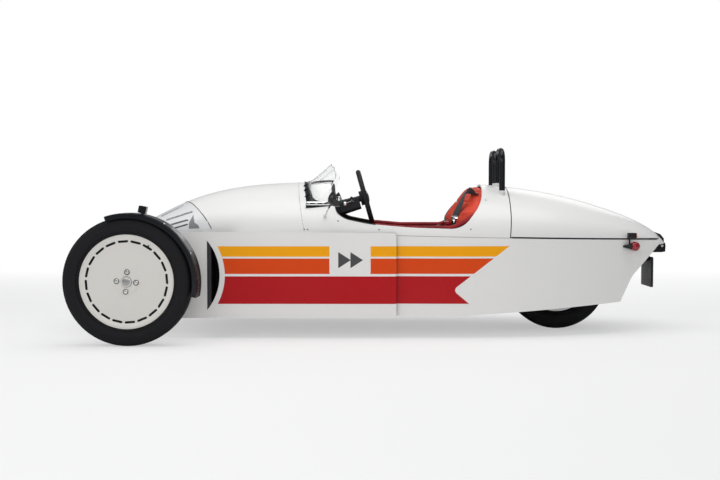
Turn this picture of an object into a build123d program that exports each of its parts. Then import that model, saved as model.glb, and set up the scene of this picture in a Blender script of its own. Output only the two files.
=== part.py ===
import math
import os

from build123d import *

os.makedirs("parts", exist_ok=True)

# An open two-seat three-wheeled car.  Millimetres, X to the tail, the car's left side at -Y, Z up,
# with the origin on the ground under the middle of the overall box.

# ---------------------------------------------------------------- driving dimensions
overall_length = 3580.0
wheelbase = 2522.0
track = 1700.0
panel_wall = 12.0
lid_gap = 6.0

front_tyre_diameter = 716.0
front_tyre_width = 130.0
front_rim_diameter = 524.0
rear_tyre_diameter = 636.0
rear_tyre_width = 195.0
rear_rim_diameter = 416.0
tyre_shoulder = 10.4

front_axle_x = front_tyre_diameter / 2 - overall_length / 2
rear_axle_x = front_axle_x + wheelbase
front_axle_z = front_tyre_diameter / 2
rear_axle_z = rear_tyre_diameter / 2
wheel_y = track / 2

# The body's seams.  The hull and the upper panels meet in one plane that falls to the tail.
seam_height = 630.0
seam_fall = 0.0225
bonnet_front_x = -1200.0
bonnet_nose_x = -1256.0
bonnet_sweep = 0.40
bonnet_front_lean = 0.45
bonnet_rear_x = -530.0
bonnet_rear_rake = 55.0
lid_front_x = 737.0
lid_front_rake = 23.0
shoulder_share = 0.6

# Body stations: distance from the front axle, half width, top of the flat side, crown height.
nose_reach = 198.0
body_stations = (
    (-nose_reach, 262.0, 470.0, 610.0),
    (-60.0, 292.0, 560.0, 676.0),
    (182.0, 338.0, 600.0, 797.0),
    (902.0, 470.0, 615.0, 920.0),
    (1532.0, 540.0, 600.0, 926.0),
    (2219.0, 522.0, 585.0, 891.0),
    (2536.0, 447.0, 575.0, 839.0),
    (2861.0, 312.0, 562.0, 746.0),
    (3050.0, 207.0, 545.0, 668.0),
    (3210.0, 60.0, 490.0, 545.0),
)

# The under line of the body: distance from the front axle, height.
floor_height = 130.0
nose_under_height = 270.0
floor_rise_start = 1890.0
tail_under_start = 2868.0
tail_under_height = 192.0
tail_corner_radius = 14.0
tail_knee = (2950.0, 346.0)
tail_knee_radius = 200.0
tail_under_end = (3146.0, 532.0)
tail_chin_rise = 14.0


def seam_z(x):
    """Height of the seam between the hull and the upper panels at a station."""
    return seam_height - seam_fall * (x - bonnet_front_x)


def body_section(x, half_width, side_top, crown, inset):
    """One closed section of the body: flat sides, tangent shoulder arcs and a crown arc."""
    half = half_width - inset
    top = crown - inset
    rise = top - side_top
    shoulder = shoulder_share * min(rise, half)
    reach = half - shoulder
    crown_radius = (reach**2 + rise**2 - shoulder**2) / (2 * (rise - shoulder))
    centre_z = top - crown_radius
    angle = math.atan2(side_top - centre_z, reach)
    end = (crown_radius * math.cos(angle), centre_z + crown_radius * math.sin(angle))
    middle = (
        reach + shoulder * math.cos(angle / 2),
        side_top + shoulder * math.sin(angle / 2),
    )
    low = -50.0

    def point(y, z):
        return Vector(x, y, z)

    edges = [
        Edge.make_line(point(-half, low), point(half, low)),
        Edge.make_line(point(half, low), point(half, side_top)),
        Edge.make_three_point_arc(point(half, side_top), point(*middle), point(*end)),
        Edge.make_three_point_arc(point(*end), point(0, top), point(-end[0], end[1])),
        Edge.make_three_point_arc(
            point(-end[0], end[1]), point(-middle[0], middle[1]), point(-half, side_top)
        ),
        Edge.make_line(point(-half, side_top), point(-half, low)),
    ]
    return Face(Wire(edges))


def under_region(inset):
    """Everything below the body's under line, grown upwards by the inset."""
    start = -nose_reach - 100
    past = tail_under_end[0] + 200
    line = [
        (start, nose_under_height),
        (-nose_reach, nose_under_height),
        (430, floor_height),
        (floor_rise_start, floor_height),
        (tail_under_start, tail_under_height),
        tail_knee,
        tail_under_end,
        (past, tail_under_end[1] + tail_chin_rise),
    ]
    corners = [(front_axle_x + distance, 0, height) for distance, height in line]
    radii = [60.0, 400.0, 1500.0, tail_corner_radius, tail_knee_radius, 1.0]
    under = FilletPolyline(*corners, radius=radii)
    last = front_axle_x + past
    first = front_axle_x + start
    rest = Polyline(corners[-1], (last, 0, -200), (first, 0, -200), corners[0])
    face = Face(Wire(under.edges() + rest.edges()))
    if inset:
        face = offset(face, amount=inset, kind=Kind.INTERSECTION).face()
    return extrude(face, 1000, both=True)


def body_solid(inset=0.0):
    """The whole body as one solid, smaller all round by the inset."""
    faces = []
    for distance, half_width, side_top, crown in body_stations:
        x = front_axle_x + distance
        faces.append(body_section(x, half_width, side_top, crown, inset))
    return loft(faces) - under_region(inset)



def mirrored(shape):
    """The same shape on the other side of the car."""
    return mirror(shape, Plane.XZ)


def both_sides(shape):
    """The shape and its mirror image, as one list of solids."""
    return [*shape.solids(), *mirrored(shape).solids()]


def block(x_low, x_high, y_low, y_high, z_low, z_high):
    """A box between two corners."""
    box = Box(x_high - x_low, y_high - y_low, z_high - z_low)
    return Pos((x_low + x_high) / 2, (y_low + y_high) / 2, (z_low + z_high) / 2) * box


def rod(start, end, radius):
    """A round bar between two points."""
    run = Vector(end) - Vector(start)
    plane = Plane(origin=Vector(start), z_dir=run)
    return extrude(plane * Circle(radius), run.length)


def pin_y(x, z, radius, y_low, y_high):
    """A round bar along Y."""
    return rod((x, y_low, z), (x, y_high, z), radius)


def side_plate(points, y_low, y_high):
    """A flat shape in the side view, through the thickness between two lateral places."""
    corners = [Vector(x, y_low, z) for x, z in points]
    face = Face(Wire.make_polygon(corners, close=True))
    if face.normal_at().Y < 0:
        face = -face
    return extrude(face, y_high - y_low, dir=(0, 1, 0))


def plan_plate(points, z_low, z_high):
    """A flat shape in the plan view, between two heights."""
    corners = [Vector(x, y, z_low) for x, y in points]
    face = Face(Wire.make_polygon(corners, close=True))
    return extrude(face, z_high - z_low, dir=(0, 0, 1))


def turned(points, x, y, z, outward):
    """A solid of revolution about the Y axis through a point, from (radius, lateral) corners.

    The lateral places grow towards the outside of the car: outward is -1 on the left side."""
    corners = [Vector(radius, outward * lateral, 0) for radius, lateral in points]
    face = Face(Wire.make_polygon(corners, close=True))
    return Pos(x, y, z) * revolve(face, Axis.Y, 360)


def save(name, *shapes):
    """Write one node: its solids in one STEP file."""
    solids = []
    for shape in shapes:
        if isinstance(shape, (list, tuple)):
            for item in shape:
                solids.extend(item.solids())
        else:
            solids.extend(shape.solids())
    result = solids[0] if len(solids) == 1 else Compound(solids)
    export_step(result, f"parts/{name}.step")


# ---------------------------------------------------------------- body panels
cockpit_front_x = -275.0
cockpit_rear_x = 642.0
cockpit_sill_z = 639.0
cockpit_curve_radius = 150.0
firewall_x = -620.0
bulkhead_x = 690.0
tub_half_width = 190.0
tub_wall = 6.0
tub_clearance = 22.0
lid_rear_x = front_axle_x + 3154.0
nose_face_x = front_axle_x - nose_reach
nose_lip = 34.0
seat_gap = 0.3
hinge_slot = 44.0


def half_space(origin, normal, shape):
    """The part of the shape on the side of a plane that its normal points to."""
    return split(shape, bisect_by=Plane(origin=origin, z_dir=normal), keep=Keep.TOP)


seam_normal = (seam_fall, 0, 1)
seam_origin = (bonnet_front_x, 0, seam_height)
rear_rake_normal = (920 - seam_height, 0, bonnet_rear_rake)
lid_rake_normal = (891 - seam_height, 0, -lid_front_rake)
nose_seam_point = (bonnet_nose_x, 0, 787.0)


def above_seam(shape, gap=0.0):
    return half_space((bonnet_front_x, 0, seam_height + gap), seam_normal, shape)


def below_seam(shape):
    return half_space(seam_origin, (-seam_fall, 0, -1), shape)


def behind(x, shape):
    return half_space((x, 0, 0), (1, 0, 0), shape)


def ahead_of(x, shape):
    return half_space((x, 0, 0), (-1, 0, 0), shape)


outer = body_solid()
inner = body_solid(panel_wall)
lining = body_solid(panel_wall + seat_gap)
lip = body_solid(nose_lip)
shell = outer - inner
tail_end = front_axle_x + body_stations[-1][0]
nose_foot_x = bonnet_front_x + 110.0


def before_bonnet(shape, sweep):
    """The part of the shape ahead of one half of the swept front seam of the bonnet."""
    return half_space(nose_seam_point, (-1, sweep * bonnet_sweep, -bonnet_front_lean), shape)


def past_bonnet_front(shape):
    """The part of the shape behind both halves of the bonnet's front seam."""
    for sweep in (-1, 1):
        shape = half_space(nose_seam_point, (1, sweep * bonnet_sweep, bonnet_front_lean), shape)
    return shape


def lid_side(shape, gap, normal):
    """One side of the raked front seam of the tail lid, held back by a gap."""
    x = lid_front_x + math.copysign(gap, normal[0])
    return half_space((x, 0, seam_z(lid_front_x)), normal, shape)


def cockpit_cutter():
    """Everything above the cockpit's edge line in the side view."""
    points = [
        (cockpit_front_x - 70, 1100),
        (cockpit_front_x - 43, 870),
        (cockpit_front_x - 8, 735),
        (cockpit_front_x + 40, 700),
        (cockpit_front_x + 195, 668),
        (cockpit_front_x + 425, cockpit_sill_z + 9.5),
        (cockpit_rear_x - 187, cockpit_sill_z),
        (cockpit_rear_x - 69, 782),
        (cockpit_rear_x - 35, 885),
        (cockpit_rear_x - 14, 1100),
    ]
    radii = [400.0, 60.0, 150.0, 1000.0, 1500.0, 140.0, 250.0, 300.0]
    corners = [(x, 0, z) for x, z in points]
    edge = FilletPolyline(*corners, radius=radii)
    closing = Line(corners[-1], corners[0])
    return extrude(Face(Wire(edge.edges() + closing.edges())), 800, both=True)


def wheel_tub_outline(inset):
    """Side outline of the housing over the rear wheel and its swing arm."""
    radius = rear_tyre_diameter / 2 + tub_clearance - inset
    height = rear_axle_z + 130 - inset
    front = bulkhead_x + panel_wall + 2 + inset
    half = tub_half_width - inset
    low = floor_height + (panel_wall if inset == 0 else 0) - inset
    round_part = pin_y(rear_axle_x, rear_axle_z, radius, -half, half)
    front_part = block(front, rear_axle_x, -half, half, low, height)
    upper = half_space((0, 0, low), (0, 0, 1), round_part)
    return upper + front_part


tub_outer = wheel_tub_outline(0)
tub_inner = wheel_tub_outline(tub_wall)


def make_hull():
    hull = behind(nose_foot_x, below_seam(shell))
    tip = behind(lid_rear_x + lid_gap, outer)
    slot = block(lid_rear_x, tail_end + 50, -hinge_slot / 2, hinge_slot / 2, 400, 700)
    hull = hull + tip - slot
    lower_inner = below_seam(behind(nose_foot_x, inner))
    firewall = lower_inner & block(firewall_x, firewall_x + panel_wall, -700, 700, 0, 900)
    bulkhead = lower_inner & block(bulkhead_x, bulkhead_x + panel_wall, -700, 700, 0, 900)
    return (hull + firewall + bulkhead) - tub_inner


def make_scuttle():
    panel = above_seam(shell)
    panel = half_space((bonnet_rear_x, 0, 920), rear_rake_normal, panel)
    panel = lid_side(panel, lid_gap / 2, tuple(-value for value in lid_rake_normal))
    rear_wall = above_seam(inner) & block(bulkhead_x, bulkhead_x + panel_wall, -700, 700, 0, 960)
    return panel - cockpit_cutter() + rear_wall


def make_bonnet():
    panel = past_bonnet_front(above_seam(shell))
    rear = tuple(-value for value in rear_rake_normal)
    return half_space((bonnet_rear_x, 0, 920), rear, panel)


def make_lid():
    panel = above_seam(shell, lid_gap)
    return ahead_of(lid_rear_x, lid_side(panel, lid_gap / 2, lid_rake_normal))




def make_nose():
    cover = above_seam(shell)
    upper = before_bonnet(cover, 1) + before_bonnet(cover, -1)
    lower = ahead_of(nose_foot_x, below_seam(shell))
    ring = (outer - lip) & block(
        nose_face_x, nose_face_x + panel_wall, -700, 700, 0, 900
    )
    return upper + lower + ring


hull = make_hull()
scuttle = make_scuttle()
bonnet = make_bonnet()
lid = make_lid()
nose = make_nose()
save("hull", hull)
save("scuttle", scuttle)
save("bonnet", bonnet)
save("tail_lid", lid)
save("rear_wheel_tub", (tub_outer - tub_inner - hull).solids().sort_by(SortBy.VOLUME)[-1])


# ---------------------------------------------------------------- nose, blades and lamps
grille_depth = 14.0
grille_bar = 7.0
grille_pitch = 30.0


def make_grille():
    """A frame of horizontal slats seated behind the lip of the nose opening."""
    low = nose_face_x + panel_wall + seat_gap
    slab = block(low, low + grille_depth, -700, 700, 0, 900)
    fill = lining & slab
    opening = lip & slab
    bars = []
    height = nose_under_height + 2 * nose_lip
    while height < body_stations[0][3] - nose_lip:
        bars.append(block(low, low + grille_depth, -400, 400, height, height + grille_bar))
        height += grille_pitch
    middle = block(low, low + grille_depth, -grille_bar, grille_bar, 0, 900)
    lattice = Compound([*bars]) & opening
    return (fill - opening) + lattice.solids() + (middle & opening)


blade_front_x = -1250.0
blade_rear_x = 69.0
blade_low = 119.0
blade_top_front = 626.0
blade_top_rear = 616.0
blade_outer_y = 563.0
blade_thickness = 8.0
blade_corner = 20.0
outlet_x = -1038.0
outlet_low = 166.0
outlet_top = 575.0
outlet_depth = 74.0
flange = 10.0


def make_blade():
    """Left side blade: a flat panel with a crescent outlet, held off the hull by two flanges."""
    inner_y = blade_outer_y - blade_thickness
    points = [
        (blade_front_x, blade_low),
        (blade_rear_x, blade_low),
        (blade_rear_x, blade_top_rear),
        (blade_front_x, blade_top_front),
    ]
    plate = side_plate(points, -blade_outer_y, -inner_y)
    rear_edges = plate.edges().filter_by(Axis.Y).sort_by(Axis.X)[-2:]
    plate = fillet(rear_edges, blade_corner)
    middle_z = (outlet_low + outlet_top) / 2
    arc = Edge.make_three_point_arc(
        (outlet_x, -600, outlet_low), (outlet_x + outlet_depth, -600, middle_z), (outlet_x, -600, outlet_top)
    )
    chord = Edge.make_line((outlet_x, -600, outlet_top), (outlet_x, -600, outlet_low))
    cutter = extrude(Face(Wire([arc, chord])), 100, dir=(0, 1, 0))
    plate = plate - cutter
    bottom = block(nose_foot_x + 30, blade_rear_x - 40, -inner_y, -200, floor_height + 14, floor_height + 24)
    top = plan_plate(
        [(nose_foot_x, -inner_y), (blade_rear_x - 40, -inner_y), (blade_rear_x - 40, -200), (nose_foot_x, -200)],
        blade_top_rear - flange - 18,
        blade_top_rear - 18,
    )
    flanges = [solid for solid in (Compound([bottom, top]) - outer).solids() if solid.center().Y < -250]
    return plate + flanges


radiator_thickness = 42.0


def make_radiator():
    """Left radiator core across the duct between the hull and the blade."""
    x = nose_foot_x + 34
    inner_y = blade_outer_y - blade_thickness - seat_gap
    low = floor_height + 24 + seat_gap
    top = blade_top_rear - flange - 18 - seat_gap
    core = block(x, x + radiator_thickness, -inner_y, -300, low, top) - outer
    core = core.solids().sort_by(Axis.Y)[0]
    return core


headlamp_x = -1480.0
headlamp_y = 430.0
headlamp_z = 622.0
headlamp_radius = 88.0
headlamp_length = 130.0


def make_headlamp():
    """Left headlamp pod: a tapered bowl on a short arm from the nose."""
    rim = headlamp_radius
    face = Face(
        Wire.make_polygon(
            [
                (0, rim - 8, 0),
                (-14, rim - 6, 0),
                (-14, rim, 0),
                (headlamp_length * 0.35, rim - 2, 0),
                (headlamp_length * 0.8, rim * 0.66, 0),
                (headlamp_length, rim * 0.3, 0),
                (headlamp_length + 8, 0, 0),
                (headlamp_length, 0, 0),
                (6, 0, 0),
            ],
            close=True,
        )
    )
    bowl = Pos(headlamp_x, -headlamp_y, headlamp_z) * revolve(face, Axis.X, 360)
    arm = rod((headlamp_x + 45, -headlamp_y, headlamp_z - 30), (headlamp_x + 20, -250, headlamp_z - 60), 15)
    arm = (arm - outer).solids().sort_by(Axis.Y)[0]
    return bowl + arm


def make_headlamp_lens():
    face = Face(
        Wire.make_polygon(
            [(-seat_gap, 0, 0), (-seat_gap, headlamp_radius - 8.5, 0), (-12, headlamp_radius - 8.5, 0), (-16, 0, 0)],
            close=True,
        )
    )
    return Pos(headlamp_x, -headlamp_y, headlamp_z) * revolve(face, Axis.X, 360)


save("grille", make_grille())
blade = make_blade()
save("side_blades", both_sides(blade))
save("radiators", both_sides(make_radiator()))
save("headlamp_pods", both_sides(make_headlamp()))
save("headlamp_lenses", both_sides(make_headlamp_lens()))

# ---------------------------------------------------------------- cockpit
driver_y = 270.0
wheel_tilt = 15.8
steering_wheel_x = -114.0
steering_wheel_z = 826.5
steering_wheel_radius = 172.0
steering_rim_radius = 15.0
column_radius = 19.0
cowl_start = 40.0
cowl_end = 186.0
cowl_width = 88.0
cowl_height = 94.0
cowl_drop = 22.0
dash_x = cockpit_front_x - 62.0
dash_thickness = 26.0
dash_low = 640.0
dial_radius = 54.0
dial_y = 60.0
dial_z = 780.0

column_direction = Vector(
    -math.cos(math.radians(wheel_tilt)), 0, -math.sin(math.radians(wheel_tilt))
)
wheel_centre = Vector(steering_wheel_x, -driver_y, steering_wheel_z)


def on_column(distance):
    """A point on the steering axis, ahead of the middle of the steering wheel."""
    return wheel_centre + column_direction * distance


def column_plane(distance):
    return Plane(origin=on_column(distance), z_dir=column_direction, x_dir=(0, 1, 0))


def make_steering_wheel():
    plane = column_plane(0)
    rim = plane * Torus(steering_wheel_radius - steering_rim_radius, steering_rim_radius)
    hub = extrude(column_plane(-12) * Circle(44), 44)
    socket = extrude(column_plane(14) * Circle(column_radius + 0.5), 60)
    wheel = rim + hub
    reach = steering_wheel_radius - 1.2 * steering_rim_radius
    for angle in (0, 180, 270):
        spoke = column_plane(-3) * (Rot(0, 0, angle) * Pos(reach / 2, 0) * Rectangle(reach, 26))
        wheel = wheel + extrude(spoke, 8)
    return wheel - socket


def firewall_distance():
    """Distance along the column at which it meets the back of the firewall."""
    return (firewall_x + panel_wall - steering_wheel_x) / column_direction.X


def make_column():
    """Steering shaft to the firewall, its moulded cowl and the switch stalk."""
    shaft = extrude(column_plane(15) * Circle(column_radius), 900)
    near = column_plane(cowl_start) * (Pos(0, cowl_drop) * RectangleRounded(cowl_width - 12, cowl_height - 14, 16))
    far = column_plane(cowl_end) * (Pos(0, cowl_drop) * RectangleRounded(cowl_width, cowl_height, 20))
    cowl = loft([near.face(), far.face()])
    stalk = rod(on_column(110), on_column(85) + Vector(0, -cowl_width / 2 - 78, 18), 5)
    tip = Pos(on_column(85) + Vector(0, -cowl_width / 2 - 78, 18)) * Sphere(9)
    return behind(firewall_x + panel_wall, shaft) + cowl + stalk + tip


def make_dashboard():
    slab = block(dash_x, dash_x + dash_thickness, -700, 700, dash_low, 960)
    panel = lining & slab
    for y in (-dial_y, dial_y):
        pod = rod((dash_x + 10, y, dial_z - 10), (dash_x + 62, y, dial_z), dial_radius)
        panel = panel + pod
    column_hole = rod(on_column(46), on_column(400), column_radius + seat_gap)
    return panel - column_hole


cushion_half = 205.0
seat_y = 265.0


def make_cushion():
    low = floor_height + panel_wall + seat_gap
    points = [
        (-60, low),
        (400, low),
        (400, low + 165),
        (200, low + 160),
        (-40, low + 210),
        (-75, low + 190),
    ]
    return side_plate(points, -seat_y - cushion_half, -seat_y + cushion_half)


def make_seat_back():
    points = [
        (bulkhead_x - seat_gap, 300),
        (bulkhead_x - 20, 690),
        (bulkhead_x - 62, 860),
        (bulkhead_x - 90, 884),
        (bulkhead_x - 150, 880),
        (bulkhead_x - 196, 850),
        (bulkhead_x - 290, 700),
        (bulkhead_x - 285, 560),
        (bulkhead_x - 270, 420),
        (bulkhead_x - 260, 300),
    ]
    back = side_plate(points, -seat_y - 190, -seat_y + 200)
    return back & lining


roll_radius = 19.0


def make_roll():
    """Padded roll along the left edge of the cockpit."""
    y = -(body_stations[4][1] - panel_wall - roll_radius - 20)
    points = [(-60, y, 655), (120, y, 640), (400, y, 640), (500, y, 690), (545, y, 745), (575, y, 800)]
    path = FilletPolyline(*points, radius=90)
    return sweep(Plane(path @ 0, z_dir=path % 0) * Circle(roll_radius), path=path) & lining


hoop_x = 719.0
hoop_tube = 18.0
hoop_outer_y = 274.0
hoop_inner_y = 68.0
hoop_bend = 70.0
hoop_top = 1130.0


def make_hoop():
    top = hoop_top - hoop_tube
    points = [
        (hoop_x, -hoop_outer_y, 800),
        (hoop_x, -hoop_outer_y, top),
        (hoop_x, -hoop_inner_y, top),
        (hoop_x, -hoop_inner_y, 800),
    ]
    path = FilletPolyline(*points, radius=hoop_bend)
    tube = sweep(Plane(path @ 0, z_dir=path % 0) * Circle(hoop_tube), path=path)
    tube = (tube - outer).solids().sort_by(Axis.Z)[-1]
    return tube


mirror_x = -280.0
mirror_y = 590.0
mirror_z = 817.0
mirror_radius = 50.0
mirror_depth = 54.0
mirror_lean = 23.0
mirror_ball = (-353.0, -472.0, 711.0)
mirror_ball_radius = 10.0


def make_mirror():
    """Left mirror: a bullet shell leaning towards the driver, on a stalk from a ball on the scuttle."""
    middle = (-0.62 * mirror_depth, 0.66 * mirror_radius, 0)
    rim = Edge.make_line((0, 0, 0), (0, mirror_radius, 0))
    curve = Edge.make_three_point_arc((0, mirror_radius, 0), middle, (-mirror_depth, 0, 0))
    axis_line = Edge.make_line((-mirror_depth, 0, 0), (0, 0, 0))
    head = revolve(Face(Wire([rim, curve, axis_line])), Axis.X, 360)
    recess = Rot(0, 90, 0) * Cylinder(mirror_radius - 4, 8)
    place = Pos(mirror_x, -mirror_y, mirror_z) * Rot(0, -mirror_lean, 0)
    head = place * (head - recess)
    ball = Pos(*mirror_ball) * Sphere(mirror_ball_radius)
    stalk = rod(mirror_ball, (mirror_x - 30, -mirror_y + 8, mirror_z - 24), 5)
    foot = (ball - outer).solids().sort_by(Axis.Y)[0]
    stalk = (stalk - outer - place * Rot(0, 90, 0) * Cylinder(mirror_radius, 8.2)).solids().sort_by(Axis.Y)[0]
    return head + foot + stalk


screen_front_x = -482.0
screen_rear_x = -312.0
screen_inner_y = 72.0
screen_outer_y = 402.0
screen_top = 1027.0
screen_rail = 14.0
aeroscreen_thickness = 5.0


def make_aeroscreen(thickness):
    """Left aeroscreen: a skin from a base line across the scuttle back to an arched rear edge."""
    inner_y = -screen_inner_y
    outer_y = -screen_outer_y
    span = outer_y - inner_y
    base = [
        (screen_front_x - 4, inner_y, 916),
        (screen_front_x, inner_y + 0.30 * span, 896),
        (screen_front_x + 6, inner_y + 0.66 * span, 838),
        (screen_front_x + 18, outer_y, 762),
    ]
    arch = [
        (screen_rear_x, inner_y, 926),
        (screen_rear_x - 2, inner_y + 0.14 * span, screen_top - 26),
        (screen_rear_x - 8, inner_y + 0.42 * span, screen_top),
        (screen_rear_x, inner_y + 0.74 * span, screen_top - 18),
        (screen_rear_x + 22, inner_y + 0.99 * span, screen_top - 78),
        (screen_rear_x - 4, outer_y - 8, screen_top - 140),
        (screen_rear_x, outer_y, 762),
    ]
    face = Face.make_surface_from_curves(Edge.make_spline(base), Edge.make_spline(arch))
    return thicken(face, amount=thickness, both=True)


def make_screen_bar():
    """Side bar along the scuttle that carries the screen's lower edge."""
    bar = block(screen_front_x + 14, screen_rear_x + 4, -screen_outer_y - 10, -300, 762, 782)
    return (bar - outer).solids().sort_by(Axis.Y)[0]


save("steering_wheel", make_steering_wheel())
column = make_column()
save("steering_column", column)
dashboard = make_dashboard()
save("dashboard", dashboard)
save("seats", both_sides(make_cushion()), both_sides(make_seat_back()))
save("cockpit_rolls", both_sides(make_roll()))
save("roll_hoops", both_sides(make_hoop()))

screen_bar = make_screen_bar()
screen = make_aeroscreen(aeroscreen_thickness / 2)
raised = Pos(0, 0, screen_rail) * outer
bar_room = block(screen_front_x, screen_rear_x + 30, -screen_outer_y - 40, -330, 700, 782 + seat_gap)
left_screen = (screen - raised - bar_room).solids().sort_by(SortBy.VOLUME)[-1]
rail_band = (make_aeroscreen(screen_rail / 2) & raised) - outer
left_rail = (rail_band.solids().sort_by(SortBy.VOLUME)[-1] + screen_bar).solids()
save("aeroscreens", both_sides(left_screen))
save("aeroscreen_rails", both_sides(Compound(left_rail)))
save("mirrors", both_sides(make_mirror()))

# ---------------------------------------------------------------- tail
hinge_x = tail_end - 12.0
hinge_z = 521.0
hinge_pin = 6.0
hinge_arm_half = 8.0
tail_lamp_x = 1532.0
tail_lamp_y = 305.0
tail_lamp_z = 528.0
tail_lamp_radius = 29.0
tail_lens_x = 1524.0
plate_x = 1680.0
plate_half_width = 115.0
plate_low = 264.0
plate_top = 452.0
plate_thickness = 14.0
plate_hole_y = 85.0
plate_hole_z = 60.0
plate_hole_radius = 3.5


def make_lid_hinge_bracket():
    """Two cheeks in the slot of the tail tip, with the hinge pin between them."""
    outline = [
        (lid_rear_x + lid_gap, 508),
        (lid_rear_x + lid_gap, 556),
        (tail_end - 16, 545),
        (tail_end + 8, 538),
        (tail_end + 12, 520),
        (tail_end + 10, 482),
        (tail_end - 14, 478),
    ]
    outer_y = hinge_slot / 2 - seat_gap
    inner_y = hinge_arm_half + 5
    under = [
        (lid_rear_x - 75, 478),
        (tail_end - 14, 478),
        (tail_end - 16, 540),
        (lid_rear_x - 20, 540),
    ]
    web = side_plate(under, -outer_y, -inner_y) - outer
    cheek = side_plate(outline, -outer_y, -inner_y) + web
    pin = pin_y(hinge_x, hinge_z, hinge_pin, -inner_y, inner_y)
    return cheek + pin + mirrored(cheek)


def make_lid_hinge_arm():
    """The lid's gooseneck, from a strap on the lid over the tail tip to the pin."""
    outline = [
        (lid_rear_x - 70, 640),
        (lid_rear_x, 606),
        (lid_rear_x + 38, 592),
        (tail_end + 4, 565),
        (tail_end + 6, 512),
        (tail_end - 22, 507),
        (tail_end - 24, 556),
        (lid_rear_x + 16, 574),
        (lid_rear_x + seat_gap, 575),
        (lid_rear_x - 70, 600),
    ]
    arm = side_plate(outline, -hinge_arm_half, hinge_arm_half)
    arm = arm - ahead_of(lid_rear_x, outer) - pin_y(hinge_x, hinge_z, hinge_pin + 0.3, -20, 20)
    return arm.solids().sort_by(SortBy.VOLUME)[-1]


def make_tail_lamp():
    """Left tail lamp pod with its arm from the hull, and the flasher body over it."""
    x = tail_lamp_x
    pod = Pos(tail_lens_x - 48, -tail_lamp_y, tail_lamp_z) * Rot(0, 90, 0) * Cone(6, 18, 48)
    arm = rod((x - 48, -tail_lamp_y + 3, tail_lamp_z), (x - 48, -180, tail_lamp_z - 4), 8)
    flasher = block(x - 53, x - 4, -tail_lamp_y - 14, -tail_lamp_y + 14, tail_lamp_z + 51, tail_lamp_z + 82)
    stalk = rod((x - 42, -tail_lamp_y, tail_lamp_z + 55), (x - 42, -tail_lamp_y, tail_lamp_z), 5)
    part = pod + arm + flasher + stalk - outer
    return part.solids().sort_by(SortBy.VOLUME)[-1]


def make_tail_lens():
    x = tail_lens_x - 24 + seat_gap
    dome = Pos(tail_lens_x, -tail_lamp_y, tail_lamp_z) * Sphere(tail_lamp_radius)
    flash = block(
        tail_lamp_x - 4 + seat_gap,
        tail_lamp_x,
        -tail_lamp_y - 13,
        -tail_lamp_y + 13,
        tail_lamp_z + 53,
        tail_lamp_z + 80,
    )
    return behind(x, dome), flash


def make_plate_holder():
    """Blank number plate holder hung below the tail, with four fixing holes."""
    half = plate_thickness / 2
    plate = block(plate_x - half, plate_x + half, -plate_half_width, plate_half_width, plate_low, plate_top)
    neck = block(plate_x - 160, plate_x + half, -32, 32, plate_top - 30, plate_top + 6) - outer
    neck = neck.solids().sort_by(Axis.X)[-1]
    holder = plate + neck
    middle = (plate_low + plate_top) / 2
    for y in (-plate_hole_y, plate_hole_y):
        for z in (middle - plate_hole_z, middle + plate_hole_z):
            holder = holder - rod((plate_x - 40, y, z), (plate_x + 40, y, z), plate_hole_radius)
    return (holder - outer).solids().sort_by(SortBy.VOLUME)[-1]


save("lid_hinge_bracket", make_lid_hinge_bracket())
save("lid_hinge_arm", make_lid_hinge_arm())
lens_dome, lens_flash = make_tail_lens()
save("tail_lamp_pods", both_sides(make_tail_lamp()))
save("tail_lamp_lenses", both_sides(lens_dome), both_sides(lens_flash))
save("plate_holder", make_plate_holder())

# ---------------------------------------------------------------- cabin fittings and engine
tunnel_half = 48.0
tunnel_top = 330.0
engine_front_x = -1270.0
engine_rear_x = -850.0
engine_half = 180.0
engine_low = 205.0
engine_top = 620.0


def make_tunnel():
    base = floor_height + panel_wall
    tunnel = block(firewall_x + panel_wall, bulkhead_x, -tunnel_half, tunnel_half, base, tunnel_top) & lining
    return tunnel - block(firewall_x, bulkhead_x + 40, -tunnel_half + 8, tunnel_half - 8, 0, tunnel_top - 8)


def make_gear_lever():
    foot = (-20, 0, tunnel_top)
    stick = rod((foot[0], 0, foot[2] + 10), (-32, 0, tunnel_top + 130), 6)
    knob = Pos(-33, 0, tunnel_top + 145) * Sphere(20)
    boot = Pos(-20, 0, tunnel_top + 12 + seat_gap) * Cone(32, 10, 24)
    brake = rod((150, 0, tunnel_top), (60, 0, tunnel_top + 95), 10)
    brake = half_space((0, 0, tunnel_top + seat_gap), (0, 0, 1), brake)
    return stick + knob + boot, brake


def make_pedals():
    """Three pedals hung from the firewall in the driver's footwell."""
    pedals = []
    for y in (-340, -265, -200):
        top = (firewall_x + panel_wall, y, 560)
        bend = (firewall_x + 90, y, 330)
        arm = behind(firewall_x + panel_wall, rod((top[0] - 10, y, top[2]), bend, 8))
        pad = Pos(*bend) * Rot(0, -25, 0) * Box(14, 52, 64)
        pedals.append(arm + pad)
    return pedals


def make_engine():
    core = block(engine_front_x, engine_rear_x, -engine_half, engine_half, engine_low, engine_top)
    mounts = []
    for x in (engine_front_x + 60, engine_rear_x - 60):
        mounts.append(pin_y(x, 360, 24, -560, 560))
    seats = Compound(mounts) & lining
    return core + seats.solids()


save("centre_tunnel", make_tunnel())
lever, hand_brake = make_gear_lever()
save("cabin_controls", lever, hand_brake, make_pedals())
save("engine_block", make_engine())

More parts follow.
